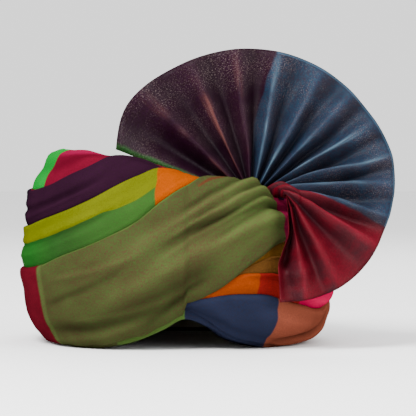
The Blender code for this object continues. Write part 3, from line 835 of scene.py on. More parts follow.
@dataclass
class Sheet:
    """Rows of points that become one mesh with three layers of coordinates.

    zone places a point in the pattern, thread measures the cloth in metres, and relief tells ridges from
    creases. Where the sheet goes all the way round, its last row stands where its first one does.
    """

    name: str
    whole: bool
    rows: list[list[Place]] = field(default_factory=list)
    zone: list[list[Point]] = field(default_factory=list)
    thread: list[list[Point]] = field(default_factory=list)
    relief: list[list[Point]] = field(default_factory=list)

    def add_row(self, points: list[Place], zone: list[Point], thread: list[Point],
                relief: list[Point]) -> None:
        """Add one closed row of points. Each layer gives the first point's place again at its end.

        Args:
            points: The points, in metres.
            zone: Their places in the pattern.
            thread: Their places on the cloth, in metres.
            relief: Their relief, which sets their painted shade and highlight.
        """
        self.rows.append(points)
        self.zone.append(zone)
        self.thread.append(thread)
        self.relief.append(relief)

    def add_section(self, azimuth: float, points: list[Point], marks: list[float], rises: list[float],
                    radius: float) -> None:
        """Add a closed section of a wound piece.

        Args:
            azimuth: Where the section is, in degrees.
            points: Its points, in millimetres.
            marks: The points' places across the pattern.
            rises: Lift of the cloth at the first points, in millimetres. The others are level.
            radius: Radius in metres by which the threads round the head are measured.
        """
        lengths = run_length(points + points[:1])
        along = math.radians(azimuth) * radius
        self.add_row([place(azimuth, p) for p in points],
                     [(azimuth / 360 + 0.5, mark) for mark in marks + marks[:1]],
                     [(along, length) for length in lengths], shading(rises, len(lengths)))

    def build(self, material: bpy.types.Material) -> bpy.types.Object:
        """Make the mesh.

        Args:
            material: The finish of all its faces.

        Returns:
            The new object, shaded smooth.
        """
        rows = self.rows[:-1] if self.whole else self.rows
        count, size = len(rows), len(rows[0])
        faces, corners = [], []
        for i in range(len(self.rows) - 1):
            for k in range(size):
                around_it = ((i, k), (i, k + 1), (i + 1, k + 1), (i + 1, k))
                faces.append([(r % count) * size + c % size for r, c in around_it])
                corners.append(around_it)
        mesh = bpy.data.meshes.new(self.name)
        mesh.from_pydata([p for row in rows for p in row], [], faces)
        for layer, source in (("zone", self.zone), ("thread", self.thread), ("relief", self.relief)):
            flat = []
            for around_it in corners:
                for r, c in around_it:
                    flat += source[r][c]
            mesh.uv_layers.new(name=layer).data.foreach_set("uv", flat)
        mesh.polygons.foreach_set("use_smooth", [True] * len(mesh.polygons))
        mesh.materials.append(material)
        made = bpy.data.objects.new(self.name, mesh)
        bpy.context.scene.collection.objects.link(made)
        return made

    def close_ends(self, made: bpy.types.Object) -> None:
        """Close both ends of a folded sheet.

        Args:
            made: The object built from it.
        """
        size = len(self.rows[0])
        bm = bmesh.new()
        bm.from_mesh(made.data)
        bm.verts.ensure_lookup_table()
        layers = [bm.loops.layers.uv[name] for name in ("zone", "thread")]
        for first in (0, (len(self.rows) - 1) * size):
            ends = [bm.verts[first + k] for k in range(size)]
            for k in range(size // 2 - 1):
                face = bm.faces.new((ends[k], ends[k + 1], ends[size - 2 - k], ends[size - 1 - k]))
                face.smooth = True
                for loop in face.loops:
                    for layer in layers:
                        near = next(o for o in loop.vert.link_loops if o.face is not face)
                        loop[layer].uv = near[layer].uv
        bmesh.ops.recalc_face_normals(bm, faces=bm.faces)
        bm.to_mesh(made.data)
        bm.free()


def shading(rises: list[float], total: int) -> list[Point]:
    """Relief of a section's points from their rises in millimetres, level for the rest of its points; it sets
    their painted shade and highlight.
    """
    known = [min(1.0, max(0.0, 0.5 + rise / RELIEF_SPAN)) for rise in rises]
    return [(level, 0.5) for level in known + [0.5] * (total - len(known))]


def run_length(points: list[Point]) -> list[float]:
    """Length along a section.

    Args:
        points: The section, in millimetres.

    Returns:
        The length in metres from its start to each of its points.
    """
    total, out = 0.0, [0.0]
    for a, b in zip(points, points[1:]):
        total += math.hypot(b[0] - a[0], b[1] - a[1]) * MM
        out.append(total)
    return out


def steps(count: int) -> list[float]:
    """Places across a wrap, closer together near its two edges."""
    return [0.5 - 0.5 * math.cos(math.pi * k / count) for k in range(count + 1)]


def all_round(count: int) -> list[float]:
    """Azimuths all the way round, from behind the head to behind it again."""
    return [-180 + 360 * i / count for i in range(count + 1)]


@dataclass
class Wrap:
    """One wound wrap: a closed roll of cloth between two edges, laid over or under its neighbours."""

    name: str
    node: str
    low: Edge
    up: Edge
    cloth: Cloth
    crumple: Crumple
    bulge: float
    low_over: float = 0.0
    up_over: float = 1.0
    start: float = -180.0
    end: float = 180.0
    folds: tuple[Fold, ...] = ()
    stripe: Curve | None = None
    folded_edge: float = 2.6
    lap_span: float = 0.3
    foot_span: float = 0.16
    foot_out: float = 0.45
    thread_radius: float = 0.132
    across: list[float] = field(default_factory=lambda: steps(34))

    @property
    def whole(self) -> bool:
        """Whether the wrap goes all the way round."""
        return self.end - self.start >= 360

    def laps(self, azimuth: float, low: Edge) -> tuple[float, float]:
        """How far both folded edges lie over their neighbours.

        Args:
            azimuth: Where, in degrees.
            low: The lower edge there.

        Returns:
            Shares of the full lap, for the lower and the upper edge.
        """
        up_lap = self.up_over
        if self.up.value in LEFT:
            up_lap *= smooth((edge(Edge.OLIVE_LOW, azimuth) - edge(self.up, azimuth)) / 0.08)
        if low is Edge.RIM:
            return 0.0, up_lap
        fade = smooth((azimuth - LEFT_START) / LEFT_FADE) * smooth((LEFT_END - azimuth) / LEFT_FADE)
        return self.low_over * fade, up_lap

    def ripple(self, azimuth: float, v: float) -> float:
        """Folds and crumples of the cloth here, in millimetres."""
        return sum(fold.rise(azimuth, v) for fold in self.folds) + self.crumple.rise(azimuth, v)

    def foot_roll(self, azimuth: float) -> float:
        """How far the lowest cloth rolls down towards the surface, in millimetres."""
        room = around("rim", azimuth) - around("foot", azimuth)
        return room * (0.62 + 0.25 * waver(azimuth / 7.0, 3.0, self.crumple.seed))

    def skin(self, azimuth: float, low: Edge) -> list[Point]:
        """Outer face in the section.

        Args:
            azimuth: Where the section is.
            low: The lower edge there.

        Returns:
            Points from the lower to the upper edge, in millimetres.
        """
        bottom, top = edge(low, azimuth), edge(self.up, azimuth)
        a, b = outline(azimuth, bottom), outline(azimuth, top)
        height = math.hypot(a[0] - b[0], a[1] - b[1])
        fullness, lap = smooth(height / FULL_BULGE), LAP * smooth(height / FULL_LAP)
        low_lap, up_lap = self.laps(azimuth, low)
        roll_down = fullness * self.foot_roll(azimuth) if low is Edge.RIM else 0.0
        turn_in = self.folded_edge / max(height, 4.0)
        points = []
        for v in self.across:
            level = bottom + (top - bottom) * v
            out = self.bulge * fullness * swell(v, BULGE_POWER)
            low_part, up_part = [1 - smooth(inward / self.lap_span) for inward in (v, 1 - v)]
            out += lap * (low_lap * low_part + up_lap * up_part)
            out += fullness * self.ripple(azimuth, v) * swell(v, FOLD_POWER)
            for lapped, inward in ((low_lap, v), (up_lap, 1 - v)):
                if lapped > 0.05 and inward < turn_in:
                    out *= math.sqrt(max(0.0, 1 - (1 - inward / turn_in) ** 2))
            n, p = normal(azimuth, level), outline(azimuth, level)
            sag = roll_down * (1 - smooth(v / self.foot_span))
            points.append((p[0] + n[0] * out + self.foot_out * sag, p[1] + n[1] * out - sag))
        return points

    def section(self, azimuth: float) -> tuple[list[Point], list[float]]:
        """The closed section.

        Args:
            azimuth: Where it is, in degrees.

        Returns:
            Its points in millimetres and, for each of them, its place across the wrap.
        """
        low = Edge.RIM if self.low is Edge.OLIVE_LOW and not on_left(azimuth) else self.low
        upper, lower = tuck(self.up, azimuth, -1), tuck(low, azimuth, 1)
        marks = list(self.across)
        if self.stripe is not None:
            split = self.stripe(azimuth)
            above = 1.001 - split
            marks = [0.5 * v / split if v < split else 0.5 + 0.5 * (v - split) / above for v in marks]
        points = self.skin(azimuth, low) + upper + lower[::-1]
        return points, marks + [1.0] * len(upper) + [0.0] * len(lower)

    def thin_end(self, azimuth: float) -> list[Point]:
        """The wrap's thin end, squeezed between its neighbours.

        Args:
            azimuth: Where it is, in degrees.

        Returns:
            Points of the section, in millimetres.
        """
        low, up = (self.low, self.up) if on_left(azimuth) else (Edge.RIM, Edge.RIM)
        pairs = zip(tuck(low, azimuth, 0), tuck(up, azimuth, 0))
        middle = [((a[0] + b[0]) / 2, (a[1] + b[1]) / 2) for a, b in pairs]
        if low is Edge.RIM:
            tip = (middle[-1][0] + 1.5 * GAP, middle[-1][1] - 0.5 * GAP)
            middle = [(p[0] - 2 * GAP, p[1]) for p in middle[:-1]] + [tip]
        return [middle[0]] * len(self.across) + middle + middle[::-1]

    def build(self) -> bpy.types.Object:
        """Make the wrap's mesh and dress it.

        Returns:
            The object.
        """
        first, last = (self.start, self.end) if self.whole else (self.start + THIN_END, self.end - THIN_END)
        count = round(STATIONS * (last - first) / 360)
        azimuths = [first + (last - first) * i / count for i in range(count + 1)]
        if not self.whole:
            azimuths = [self.start, *azimuths, self.end]
        sheet = Sheet(self.name, self.whole)
        for azimuth in azimuths:
            if not self.whole and azimuth in (self.start, self.end):
                points = self.thin_end(azimuth)
                marks = [0.0] * len(points)
            else:
                points, marks = self.section(azimuth)
            # The folds' lift sets the painted shade in the creases and the painted highlight on the ridges
            rises = [self.ripple(azimuth, v) for v in self.across]
            sheet.add_section(azimuth, points, marks, rises, self.thread_radius)
        return sheet.build(self.cloth.dress(self.name + "_cloth"))


@dataclass
class Crown:
    """The crimson roll over the top of the wall and the closed crown inside it."""

    cloth: Cloth
    cap_cloth: Cloth
    folds: tuple[Fold, ...]
    bulge: float = 1.0
    crumple: Crumple = Crumple(31.0, (2.4, 4.0, 1.5), (8.0, 12.0, 0.6))
    thread_radius: float = 0.115
    lip_shares: tuple[float, ...] = (LIP_SHARE, 0.89, 0.925, 0.96)
    edge_room: float = 0.6
    rings: int = 26
    eye: float = 0.02
    across: list[float] = field(default_factory=lambda: steps(44))

    def fold_rise(self, azimuth: float, v: float) -> float:
        """How far the roll's folds lift it here, in millimetres."""
        return sum(fold.rise(azimuth, v) for fold in self.folds)

    def roll_section(self, azimuth: float) -> list[Point]:
        """The roll's closed section.

        Args:
            azimuth: Where it is, in degrees.

        Returns:
            Its points in millimetres: the upper face, then the underside on the crown, then the tuck.
        """
        low = edge(Edge.PURPLE_TOP, azimuth)
        points = []
        for v in self.across:
            level = low + (LIP_UP - low) * v
            out = self.bulge * swell(v, BULGE_POWER) + self.fold_rise(azimuth, v)
            out += self.crumple.rise(azimuth, v) * swell(v, FOLD_POWER)
            n, p = normal(azimuth, level), outline(azimuth, level)
            points.append((p[0] + n[0] * out, p[1] + n[1] * out))
        reach = oval(azimuth, CAP_OVERHANG)
        under = [(share * reach, cap_top(share) + GAP) for share in self.lip_shares]
        under.append((reach + self.edge_room, cap_top(1.0) + GAP))
        under.append((oval(azimuth, CORE_THICKNESS) + GAP, CORE_TOP + GAP))
        return points + under + tuck(Edge.PURPLE_TOP, azimuth, 1)[::-1]

    def build_roll(self) -> bpy.types.Object:
        """Make and dress the roll.

        Returns:
            The object.
        """
        sheet = Sheet("crimson_crown_roll", True)
        for azimuth in all_round(STATIONS):
            points = self.roll_section(azimuth)
            under = len(points) - len(self.across) - TUCK_POINTS
            marks = self.across + [1.0] * under + [0.0] * TUCK_POINTS
            # The folds' lift sets the roll's painted shade in its creases and painted highlight on its ridges
            rises = [self.fold_rise(azimuth, v) for v in self.across]
            sheet.add_section(azimuth, points, marks, rises, self.thread_radius)
        return sheet.build(self.cloth.dress("crimson_roll_cloth"))

    @staticmethod
    def gathers(a: float, share: float) -> float:
        """How far the cloth drawn together in the crown's middle is lifted.

        Args:
            a: The turn, in radians.
            share: Share of the crown's reach.

        Returns:
            The lift in millimetres.
        """
        room = smooth(share / 0.25) * smooth((0.86 - share) / 0.12)
        spiral = math.sin(7 * a + 9 * share) * 0.9 + math.sin(16 * a - 13 * share) * 0.45
        return room * (spiral + 0.9 * waver(share * math.cos(a) * 6, share * math.sin(a) * 6, 3.0))

    def build_cap(self) -> bpy.types.Object:
        """Make and dress the closed crown.

        Returns:
            The object.
        """
        shares = [self.eye + (1 - self.eye) * k / self.rings for k in range(self.rings + 1)]
        sheet = Sheet("closed_crown", True)
        for azimuth in all_round(STATIONS // 2):
            a = math.radians(azimuth)
            points, thread, rises = [], [], []
            for sink, order in ((0.0, shares), (CAP_THICKNESS, shares[::-1])):
                for share in order:
                    lift = 0.0 if sink else self.gathers(a, share)
                    reach = share * oval(azimuth, CAP_OVERHANG)
                    points.append(place(azimuth, (reach, cap_top(share) - sink + lift)))
                    thread.append((reach * math.sin(a) * MM, reach * math.cos(a) * MM))
                    # Twice the lift of the gathers sets their painted shade and painted highlight
                    rises.append(2.0 * lift)
            zone = [(azimuth / 360 + 0.5, 0.5)] * (len(points) + 1)
            sheet.add_row(points, zone, thread + thread[:1], shading(rises, len(zone)))
        return sheet.build(self.cap_cloth.dress("closed_crown_cloth"))


@dataclass
class InnerBand:
    """The band round the head with its turned-out foot, flat where it rests."""

    cloth: Cloth
    rings: int = 16
    dent: float = 0.5
    belly: float = 0.5
    thread_radius: float = 0.09
    lining_mark: float = 0.2
    foot_mark: float = 0.8
    foot_edge: tuple[Point, ...] = ((0.4, 0.7), (0.8, 0.4), (1.6, 0.12), (3.2, 0.0))

    def section(self, azimuth: float) -> list[Point]:
        """The closed section.

        Args:
            azimuth: Where it is, in degrees.

        Returns:
            Its points in millimetres, starting inside at the foot.
        """
        foot, rim = around("foot", azimuth), around("rim", azimuth)
        inner, core = oval(azimuth), oval(azimuth, CORE_THICKNESS)
        under = [(p[0] - 2 * GAP, p[1]) for p in tuck(Edge.RIM, azimuth, -1)]
        tip = under[0][0]
        wall = []
        for k in range(self.rings + 1):
            share = k / self.rings
            dent = self.dent * waver(azimuth / 14, share * 9, 5.0)
            dent *= smooth(share / 0.1) * smooth((1 - share) / 0.1)
            belly = self.belly * (1 - abs(2 * share - 1))
            wall.append((inner + belly + dent, foot + (CORE_TOP - foot) * share))
        turned = [(tip - inward, foot + share * (rim - foot)) for inward, share in self.foot_edge]
        return wall + [(core, CORE_TOP)] + under[::-1] + turned

    def build(self) -> bpy.types.Object:
        """Make and dress the band.

        Returns:
            The object.
        """
        sheet = Sheet("inner_band", True)
        for azimuth in all_round(STATIONS):
            points = self.section(azimuth)
            outside = len(points) - self.rings - 2
            marks = [self.foot_mark] + [self.lining_mark] * (self.rings + 1) + [self.foot_mark] * outside
            sheet.add_section(azimuth, points, marks, [], self.thread_radius)
        return sheet.build(self.cloth.dress("inner_band_cloth"))


def toward(roll: float) -> Vector:
    """The way the fan's cloth faces: to the front, turned up by the roll over the lip."""
    turn = math.radians(roll)
    return Vector((0, -math.cos(turn), math.sin(turn)))


def in_place(point: Vector) -> Place:
    """A point measured in millimetres from the head's axis, in metres in the shared frame."""
    return (point.x + HEAD_X) * MM, (point.y + HEAD_Y) * MM, point.z * MM


def rib(name: str, direction: float) -> float:
    """A column of the fan's table at a direction."""
    return RIBS[name](direction)


def rib_point(name: str, direction: float) -> Vector:
    """A point of the fan's table at a direction: root or gather."""
    return Vector([rib(f"{name}_{axis}", direction) for axis in "xyz"])


@dataclass
class Fan:
    """The stiffened fan: one long sheet folded into pleats that open from a gathered root."""

    cloth: FanCloth
    per_pleat: int = 10
    steps_out: int = 26
    thickness: float = 0.9
    crush: float = 0.8
    fine_crush: float = 0.35
    sway: float = 2.0
    flat_width: float = 0.42
    flat_length: float = 0.105
    thread_length: float = 0.106

    def columns(self) -> list[tuple[float, float, float]]:
        """The sheet's columns.

        Returns:
            Direction, pleat height and place along the cloth of each.
        """
        out = []
        for n, (start, end) in enumerate(zip(CRESTS, CRESTS[1:])):
            for k in range(self.per_pleat):
                share = k / self.per_pleat
                out.append((start + (end - start) * share, PLEAT_SHAPE(share), n + share))
        return out + [(CRESTS[-1], 1.0, float(len(CRESTS) - 1))]

    @staticmethod
    def slack(direction: float, s: float) -> float:
        """Dents and flutter of the fan's loose lower end.

        Args:
            direction: Degrees in the fan's plane.
            s: Share of the way out.

        Returns:
            How far the cloth is lifted, in millimetres.
        """
        dents = 4.5 * math.exp(-((s - 0.70) / 0.07) ** 2) - 3.0 * math.exp(-((s - 0.58) / 0.05) ** 2)
        flutter = 1.6 * waver(direction / 6.0, s * 16.0, 37.0) * smooth((s - 0.45) / 0.2)
        return smooth((-66 - direction) / 22) * (dents + flutter)

    def middle(self, direction: float, level: float, s: float) -> tuple[Vector, Vector]:
        """Middle of the sheet and the way it faces, at a share of the way from root to rim.

        Args:
            direction: Degrees in the fan's plane, 0 to the wearer's left and 90 up.
            level: Height of the pleat, from -1 in the valley to 1 on the crest.
            s: Share of the way out.

        Returns:
            The point in millimetres and the facing direction.
        """
        a = math.radians(direction)
        along = Vector((math.cos(a), 0, math.sin(a)))
        sideways = Vector((-math.sin(a), 0, math.cos(a)))
        facing = toward(rib("roll", direction) * (1 - s))
        crush = waver(direction / 9.0, s * 3.0, 7.0) * self.crush
        crush += waver(direction / 3.0, s * 9.0, 17.0) * self.fine_crush
        depth = level * PLEAT_DEPTH(s) + crush * smooth(s / 0.15) + self.slack(direction, s)
        sway = waver(direction / 7.0, s * 2.2, 27.0) * self.sway * smooth(s / 0.3) * smooth((1.15 - s) / 0.3)
        run = FAN_INNER + (rib("reach", direction) - FAN_INNER) * s
        shift = Vector((LOOSE_EDGE(s) * smooth((-76 - direction) / 14), rib("back", direction) * s, 0))
        at = rib_point("root", direction) + along * run + sideways * sway + shift + facing * depth
        return at, facing

    def build(self) -> bpy.types.Object:
        """Make and dress the fan.

        Returns:
            The object.
        """
        sheet = Sheet("pleated_fan", False)
        half = self.thickness / 2
        for direction, level, pleat in self.columns():
            front, back, marks = [], [], []
            for k in range(self.steps_out + 1):
                s = k / self.steps_out
                at, facing = self.middle(direction, level, s)
                front.append(in_place(at + facing * half))
                back.append(in_place(at - facing * half))
                marks.append((pleat / (len(CRESTS) - 1), s))
            ring = marks + marks[::-1] + marks[:1]
            thread = [(u * self.flat_width, v * self.thread_length) for u, v in ring]
            sheet.add_row(front + back[::-1], ring, thread, ring)
        made = sheet.build(self.cloth.dress("fan_cloth"))
        sheet.close_ends(made)
        return made


@dataclass
class FanRoot:
    """The fan's gathered cloth: its pleats drawn together in the pocket and laid over the swath's lip."""

    fan: Fan
    cloth: FanCloth
    steps_up: int = 14
    overlap: float = 1.5
    loop_at: float = -6.0
    loop_width: float = 15.0
    loop_height: float = 3.2
    end_fill: float = 7.0
    front_gather: float = 2.6
    front_arch: float = 1.6
    back_rim: float = 1.2
    back_gather: float = 2.4
    crush: float = 0.7
    zone_length: float = 0.08
    thread_width: float = 0.2
    thread_length: float = 0.014

    def column(self, direction: float, level: float) -> tuple[list[Vector], list[Vector]]:
        """One pleat, from where it is gathered to just under the fan.

        Args:
            direction: Degrees in the fan's plane.
            level: Height of the pleat, from -1 in the valley to 1 on the crest.

        Returns:
            Points of its front and of its back, in millimetres.
        """
        gather = rib_point("gather", direction)
        a = math.radians(direction)
        out = Vector((math.cos(a), 0, math.sin(a))) * (FAN_INNER + self.overlap)
        rim = rib_point("root", direction) + out
        facing = toward(rib("roll", direction))
        loop = self.loop_height * math.exp(-((direction - self.loop_at) / self.loop_width) ** 2)
        front, back = [], []
        for k in range(self.steps_up + 1):
            s = k / self.steps_up
            arch = math.sin(math.pi * s)
            body = self.front_gather * (1 - s) ** 0.5 + self.front_arch * arch
            body += loop * math.sin(math.pi * min(1.0, s + 0.1)) ** 0.7
            crush = self.crush * waver(direction / 5.0, s * 2.5, 19.0) * arch
            pleat = level * PLEAT_DEPTH(0) * (0.35 + 0.65 * s)
            at = gather.lerp(rim, s)
            front.append(at + facing * (body + crush + pleat - 0.1))
            filled = self.end_fill * smooth((-45 - direction) / 30) * math.sin(math.pi * min(1.0, s + 0.2))
            behind = self.back_rim + self.back_gather * (1 - s) + max(0.0, -pleat) + filled
            back.append(at - facing * behind)
        return front, back

    def build(self) -> bpy.types.Object:
        """Make and dress the gathered root.

        Returns:
            The object.
        """
        sheet = Sheet("gathered_fan_root", False)
        marks = [k / self.steps_up for k in range(self.steps_up + 1)]
        ring = marks + marks[::-1] + marks[:1]
        for direction, level, pleat in self.fan.columns():
            front, back = self.column(direction, level)
            share = pleat / (len(CRESTS) - 1)
            zone = [(share, self.zone_length * s) for s in ring]
            thread = [(share * self.thread_width, s * self.thread_length) for s in ring]
            sheet.add_row([in_place(p) for p in front + back[::-1]], zone, thread, zone)
        made = sheet.build(self.cloth.dress("gathered_root_cloth"))
        sheet.close_ends(made)
        return made


OLIVE_FOLDS = (
    Fold(-60, 20, 0.22, 0.22, 0.07, -2.2), Fold(-30, 60, 0.42, 0.42, 0.08, 2.6),
    Fold(-10, 62, 0.60, 0.60, 0.06, -2.6), Fold(-22, 30, 0.74, 0.74, 0.07, 2.4),
    Fold(120, 240, 0.50, 0.50, 0.10, -2.2),
    Fold(-2, 42, 0.80, 0.95, 0.018, -2.8), Fold(-4, 42, 0.735, 0.905, 0.020, 2.4),
    Fold(0, 42, 0.68, 0.86, 0.018, -2.8), Fold(-8, 42, 0.62, 0.81, 0.022, 2.4),
    Fold(2, 42, 0.565, 0.755, 0.020, -2.3), Fold(-10, 42, 0.49, 0.69, 0.030, 2.4),
    Fold(8, 42, 0.44, 0.60, 0.026, -2.2),
    Fold(-46, -6, 0.78, 0.66, 0.030, 1.5), Fold(-50, -12, 0.50, 0.62, 0.035, -1.5),
    Fold(-60, -10, 0.08, 0.10, 0.035, 1.4), Fold(-50, 10, 0.20, 0.10, 0.035, -1.5),
    Fold(-40, 4, 0.30, 0.16, 0.030, 1.3), Fold(-14, 12, 0.05, 0.16, 0.030, -1.8),
    Fold(60, 110, 0.40, 0.55, 0.10, 1.6), Fold(80, 160, 0.65, 0.50, 0.07, -1.6),
    Fold(-170, -80, 0.30, 0.36, 0.06, 1.5), Fold(-160, -95, 0.72, 0.64, 0.06, -1.3))

CROWN_FOLDS = (
    Fold(-110, -25, 0.20, 0.20, 0.07, -2.0), Fold(-120, -10, 0.45, 0.40, 0.06, 1.4),
    Fold(90, 200, 0.3, 0.4, 0.06, -1.5), Fold(-200, -90, 0.5, 0.6, 0.06, -1.5))

# The finishes of the swath, the crown's roll and the inner band, whose inside is plain cotton
# On the swath, the pale olive block from 19 to 60 degrees is painted light on its upper part
OLIVE_CLOTH = Cloth(Dyes.OLIVE, contrast=2.0, drift=0.5, uneven=0.5, checks=(
    Check(19, 60, Dyes.OLIVE_STRIPE_AND_PAINTED_LIGHT, 0.2, 1.2, 0.06, 0.2), Check(-104, -51.5, Dyes.MAROON),
    Check(-51.5, -48.6, Dyes.OLIVE_STRIPE_AND_PAINTED_LIGHT, soft=0.004), Check(-48, 38, Dyes.HEM, 0.979, 0.99),
    Check(8, 36, Dyes.RUST, 0.925, 0.94), Check(38.8, 96, Dyes.ROSE), Check(96, 150, Dyes.BLUE),
    Check(-190, -140, Dyes.BROWN), Check(166, 190, Dyes.BROWN)))
# The pink block along the top of the roll is a painted highlight; the mint one is a stripe of the check
ROLL_CLOTH = Cloth(Dyes.CRIMSON, (
    Check(-64, -20, Dyes.PINK_PAINTED_HIGHLIGHT, 0.28, 0.50, 0.03, 0.06), Check(-78, -56, Dyes.MINT, high=0.5)))
FOOT_CLOTH = Cloth(Dyes.BLUE, (
    Check(-190, 190, Dyes.COTTON, -0.5, 0.5), Check(-190, -104, Dyes.BROWN, 0.5),
    Check(-104, -57, Dyes.MAROON, 0.5), Check(-57, -22, Dyes.OLIVE, 0.5), Check(-22, 4, Dyes.HEM, 0.5),
    Check(4, 37, Dyes.BLUE, 0.5), Check(37, 92, Dyes.COPPER, 0.5), Check(92, 150, Dyes.MAROON, 0.5),
    Check(150, 190, Dyes.BROWN, 0.5)))

# Colours of the painted highlights on the fan's crests, one for each block
PLUM_PAINTED_HIGHLIGHT, BLUE_PAINTED_HIGHLIGHT, RED_PAINTED_HIGHLIGHT = (0.075, 0.022, 0.017), (0.060, 0.104, 0.138), (0.120, 0.005, 0.014)
FAN_CLOTH = FanCloth((
    FanBlock(0.10, 0.0, Dyes.FAN_PLUM, PLUM_PAINTED_HIGHLIGHT), FanBlock(3.2, 0.75, Dyes.FAN_BLUE, BLUE_PAINTED_HIGHLIGHT),
    FanBlock(9.95, 0.45, Dyes.FAN_RED, RED_PAINTED_HIGHLIGHT)))
ROOT_CLOTH = FanCloth((
    FanBlock(0.10, 0.0, Dyes.FAN_PLUM, PLUM_PAINTED_HIGHLIGHT), FanBlock(3.2, 0.0, Dyes.FAN_BLUE, BLUE_PAINTED_HIGHLIGHT),
    FanBlock(8.3, 0.0, Dyes.FAN_RED, RED_PAINTED_HIGHLIGHT)))

WRAPS = (
    Wrap("olive_front_swath", "olive_swath", Edge.OLIVE_LOW, Edge.OLIVE_TOP, OLIVE_CLOTH, Crumple(1.0),
         bulge=4.0, low_over=1.0, folds=OLIVE_FOLDS, across=steps(72)),
    Wrap("lime_and_green_wrap", "lime_green_wrap", Edge.OLIVE_TOP, Edge.LIME_TOP, Cloth(Dyes.LIME, (
        Check(30, 96, Dyes.ROSE), Check(-190, -6, Dyes.GREEN, high=0.5),
        Check(-28, 20, Dyes.LEAF, high=0.5, soft=0.08), Check(-6, 30, Dyes.ORANGE),
        Check(-110, -48, Dyes.BRIGHT_GREEN, high=0.5, soft=0.06), Check(100, 190, Dyes.GREEN, high=0.5))),
         Crumple(11.0), bulge=2.4,
         folds=(Fold(-110, -10, 0.52, 0.52, 0.06, -1.8), Fold(-100, -20, 0.25, 0.3, 0.06, 1.0)),
         stripe=Curve([-180, -110, -52, -39, -24, -17, -6, 60, 180],
                      [0.5, 0.55, 0.565, 0.555, 0.575, 0.49, 0.48, 0.5, 0.5])),
    Wrap("plum_wrap", "purple_wrap", Edge.LIME_TOP, Edge.PURPLE_TOP, Cloth(Dyes.PLUM, (
        Check(-110, -72, Dyes.NAVY), Check(60, 140, Dyes.NAVY), Check(-70, 2, Dyes.RED, 0.97, 0.99))),
         Crumple(21.0), bulge=3.8,
         folds=(Fold(-100, -20, 0.45, 0.45, 0.09, -2.2), Fold(-80, -22, 0.2, 0.28, 0.05, 1.0),
                Fold(100, 200, 0.45, 0.55, 0.08, -1.6))),
    Wrap("blue_and_copper_wrap", "blue_copper_wrap", Edge.RIM, Edge.BLUE_TOP, Cloth(Dyes.BLUE, (
        Check(35, 92, Dyes.COPPER), Check(92, 150, Dyes.MAROON))),
         Crumple(41.0), bulge=4.5, start=BLUE_START, end=BLUE_END,
         folds=(Fold(34, 104, 0.00, 1.05, 0.065, -5.0), Fold(34, 104, -0.20, 0.85, 0.12, 2.6),
                Fold(22, 60, 0.6, 0.65, 0.14, 1.4), Fold(60, 150, 0.55, 0.45, 0.09, -1.2))),
    Wrap("orange_red_and_pink_wrap", "orange_red_pink_wrap", Edge.BLUE_TOP, Edge.ORANGE_TOP,
         Cloth(Dyes.AMBER, (Check(27, 46, Dyes.RED), Check(46, 110, Dyes.PINK), Check(110, 190, Dyes.RED))),
         Crumple(51.0), bulge=3.0, start=4, end=166,
         folds=(Fold(30, 85, 0.55, 0.55, 0.12, 1.2), Fold(46, 100, 0.25, 0.25, 0.22, 4.5))),
    Wrap("ochre_wound_wrap", "ochre_wrap", Edge.ORANGE_TOP, Edge.OCHRE_TOP,
         Cloth(Dyes.OCHRE, (Check(40, 120, Dyes.CRIMSON),)), Crumple(61.0), bulge=2.0, start=13, end=148),
    Wrap("gold_wound_wrap", "gold_wrap", Edge.OCHRE_TOP, Edge.OLIVE_LOW,
         Cloth(Dyes.GOLD, (Check(44, 120, Dyes.PLUM),)), Crumple(71.0), bulge=1.4, up_over=0.0,
         start=22, end=139))


@dataclass(frozen=True)
class PhotoView:
    """Where the photograph was taken from: millimetres, degrees, and pixels of the photograph."""

    aim_right: float = 25.92
    aim_height: float = 106.5
    tilt: float = 1.5
    distance: float = 2200.0
    pixels: int = 416
    pixel: float = 0.81
    sensor: float = 36.0

    def take(self) -> None:
        """Put the camera there and make it the scene's."""
        aim = Vector((self.aim_right + HEAD_X, HEAD_Y, self.aim_height)) * MM
        tilt = math.radians(self.tilt)
        data = bpy.data.cameras.new("photo_view")
        data.sensor_width = self.sensor
        data.lens = self.sensor * self.distance / (self.pixels * self.pixel)
        data.clip_start, data.clip_end = 0.05, 30.0
        camera = bpy.data.objects.new("photo_view", data)
        camera.location = aim + Vector((0, -math.cos(tilt), math.sin(tilt))) * self.distance * MM
        camera.rotation_euler = (aim - camera.location).to_track_quat("-Z", "Y").to_euler()
        bpy.context.scene.collection.objects.link(camera)
        bpy.context.scene.camera = camera


@dataclass(frozen=True)
class Lamp:
    """A square studio lamp: its place and size in metres, and its power in watts."""

    name: str
    at: Place
    size: float
    power: float

    def hang(self) -> None:
        """Add the lamp, turned to the turban."""
        data = bpy.data.lights.new(self.name, "AREA")
        data.size, data.energy = self.size, self.power
        light = bpy.data.objects.new(self.name, data)
        light.location = self.at
        light.rotation_euler = (Vector((0, 0, 0.1)) - Vector(self.at)).to_track_quat("-Z", "Y").to_euler()
        bpy.context.scene.collection.objects.link(light)


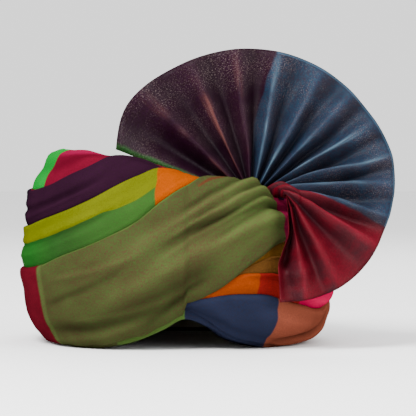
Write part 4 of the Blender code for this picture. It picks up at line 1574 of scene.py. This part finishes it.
@dataclass(frozen=True)
class Studio:
    """Pale room with a soft key light from the upper left, a fill from the right and a light behind."""

    lamps: tuple[Lamp, ...] = (
        Lamp("key", (-0.7, -1.3, 1.5), 0.9, 105.0), Lamp("fill", (1.3, -1.2, 0.7), 1.2, 22.0),
        Lamp("back", (0.4, 1.4, 1.4), 1.0, 20.0))
    brightness: float = 1.5
    floor_reach: float = 6.0
    paint: FloorPaint = FloorPaint()

    def light(self) -> None:
        """Light the room evenly and hang the lamps."""
        world = bpy.data.worlds.new("studio")
        world.use_nodes = True
        sockets = world.node_tree.nodes["Background"].inputs
        sockets[0].default_value, sockets[1].default_value = (1, 1, 1, 1), self.brightness
        bpy.context.scene.world = world
        for lamp in self.lamps:
            lamp.hang()

    def lay_floor(self) -> None:
        """Lay a wide plain floor."""
        far = self.floor_reach
        mesh = bpy.data.meshes.new("floor")
        mesh.from_pydata([(-far, -far, 0), (far, -far, 0), (far, far, 0), (-far, far, 0)], [], [(0, 1, 2, 3)])
        mesh.materials.append(self.paint.dress("floor"))
        floor = bpy.data.objects.new("floor", mesh)
        bpy.context.scene.collection.objects.link(floor)


def settle(made: bpy.types.Object, node: str) -> None:
    """Hang a piece on the body, in place of its node, and log it.

    Args:
        made: The piece.
        node: The node it stands for.
    """
    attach(made, "root")
    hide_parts(node)
    LOG.info("%s: %d faces in place of %s", made.name, len(made.data.polygons), node)


def main() -> None:
    """Build every piece in order and dress it."""
    logging.basicConfig(level=logging.INFO, format="%(message)s")
    PhotoView().take()
    studio = Studio()
    studio.light()
    studio.lay_floor()
    for wrap in WRAPS:
        made = wrap.build()
        settle(made, wrap.node)
    fan = Fan(FAN_CLOTH)
    crown = Crown(ROLL_CLOTH, Cloth(Dyes.CRIMSON), CROWN_FOLDS)
    for made, node in ((crown.build_roll(), "crown_wrap"), (crown.build_cap(), "crown_cap"),
                       (InnerBand(FOOT_CLOTH).build(), "base_wrap"),
                       (FanRoot(fan, ROOT_CLOTH).build(), "fan_root")):
        settle(made, node)
    made = fan.build()
    settle(made, "fan")


if __name__ == "__main__":
    main()
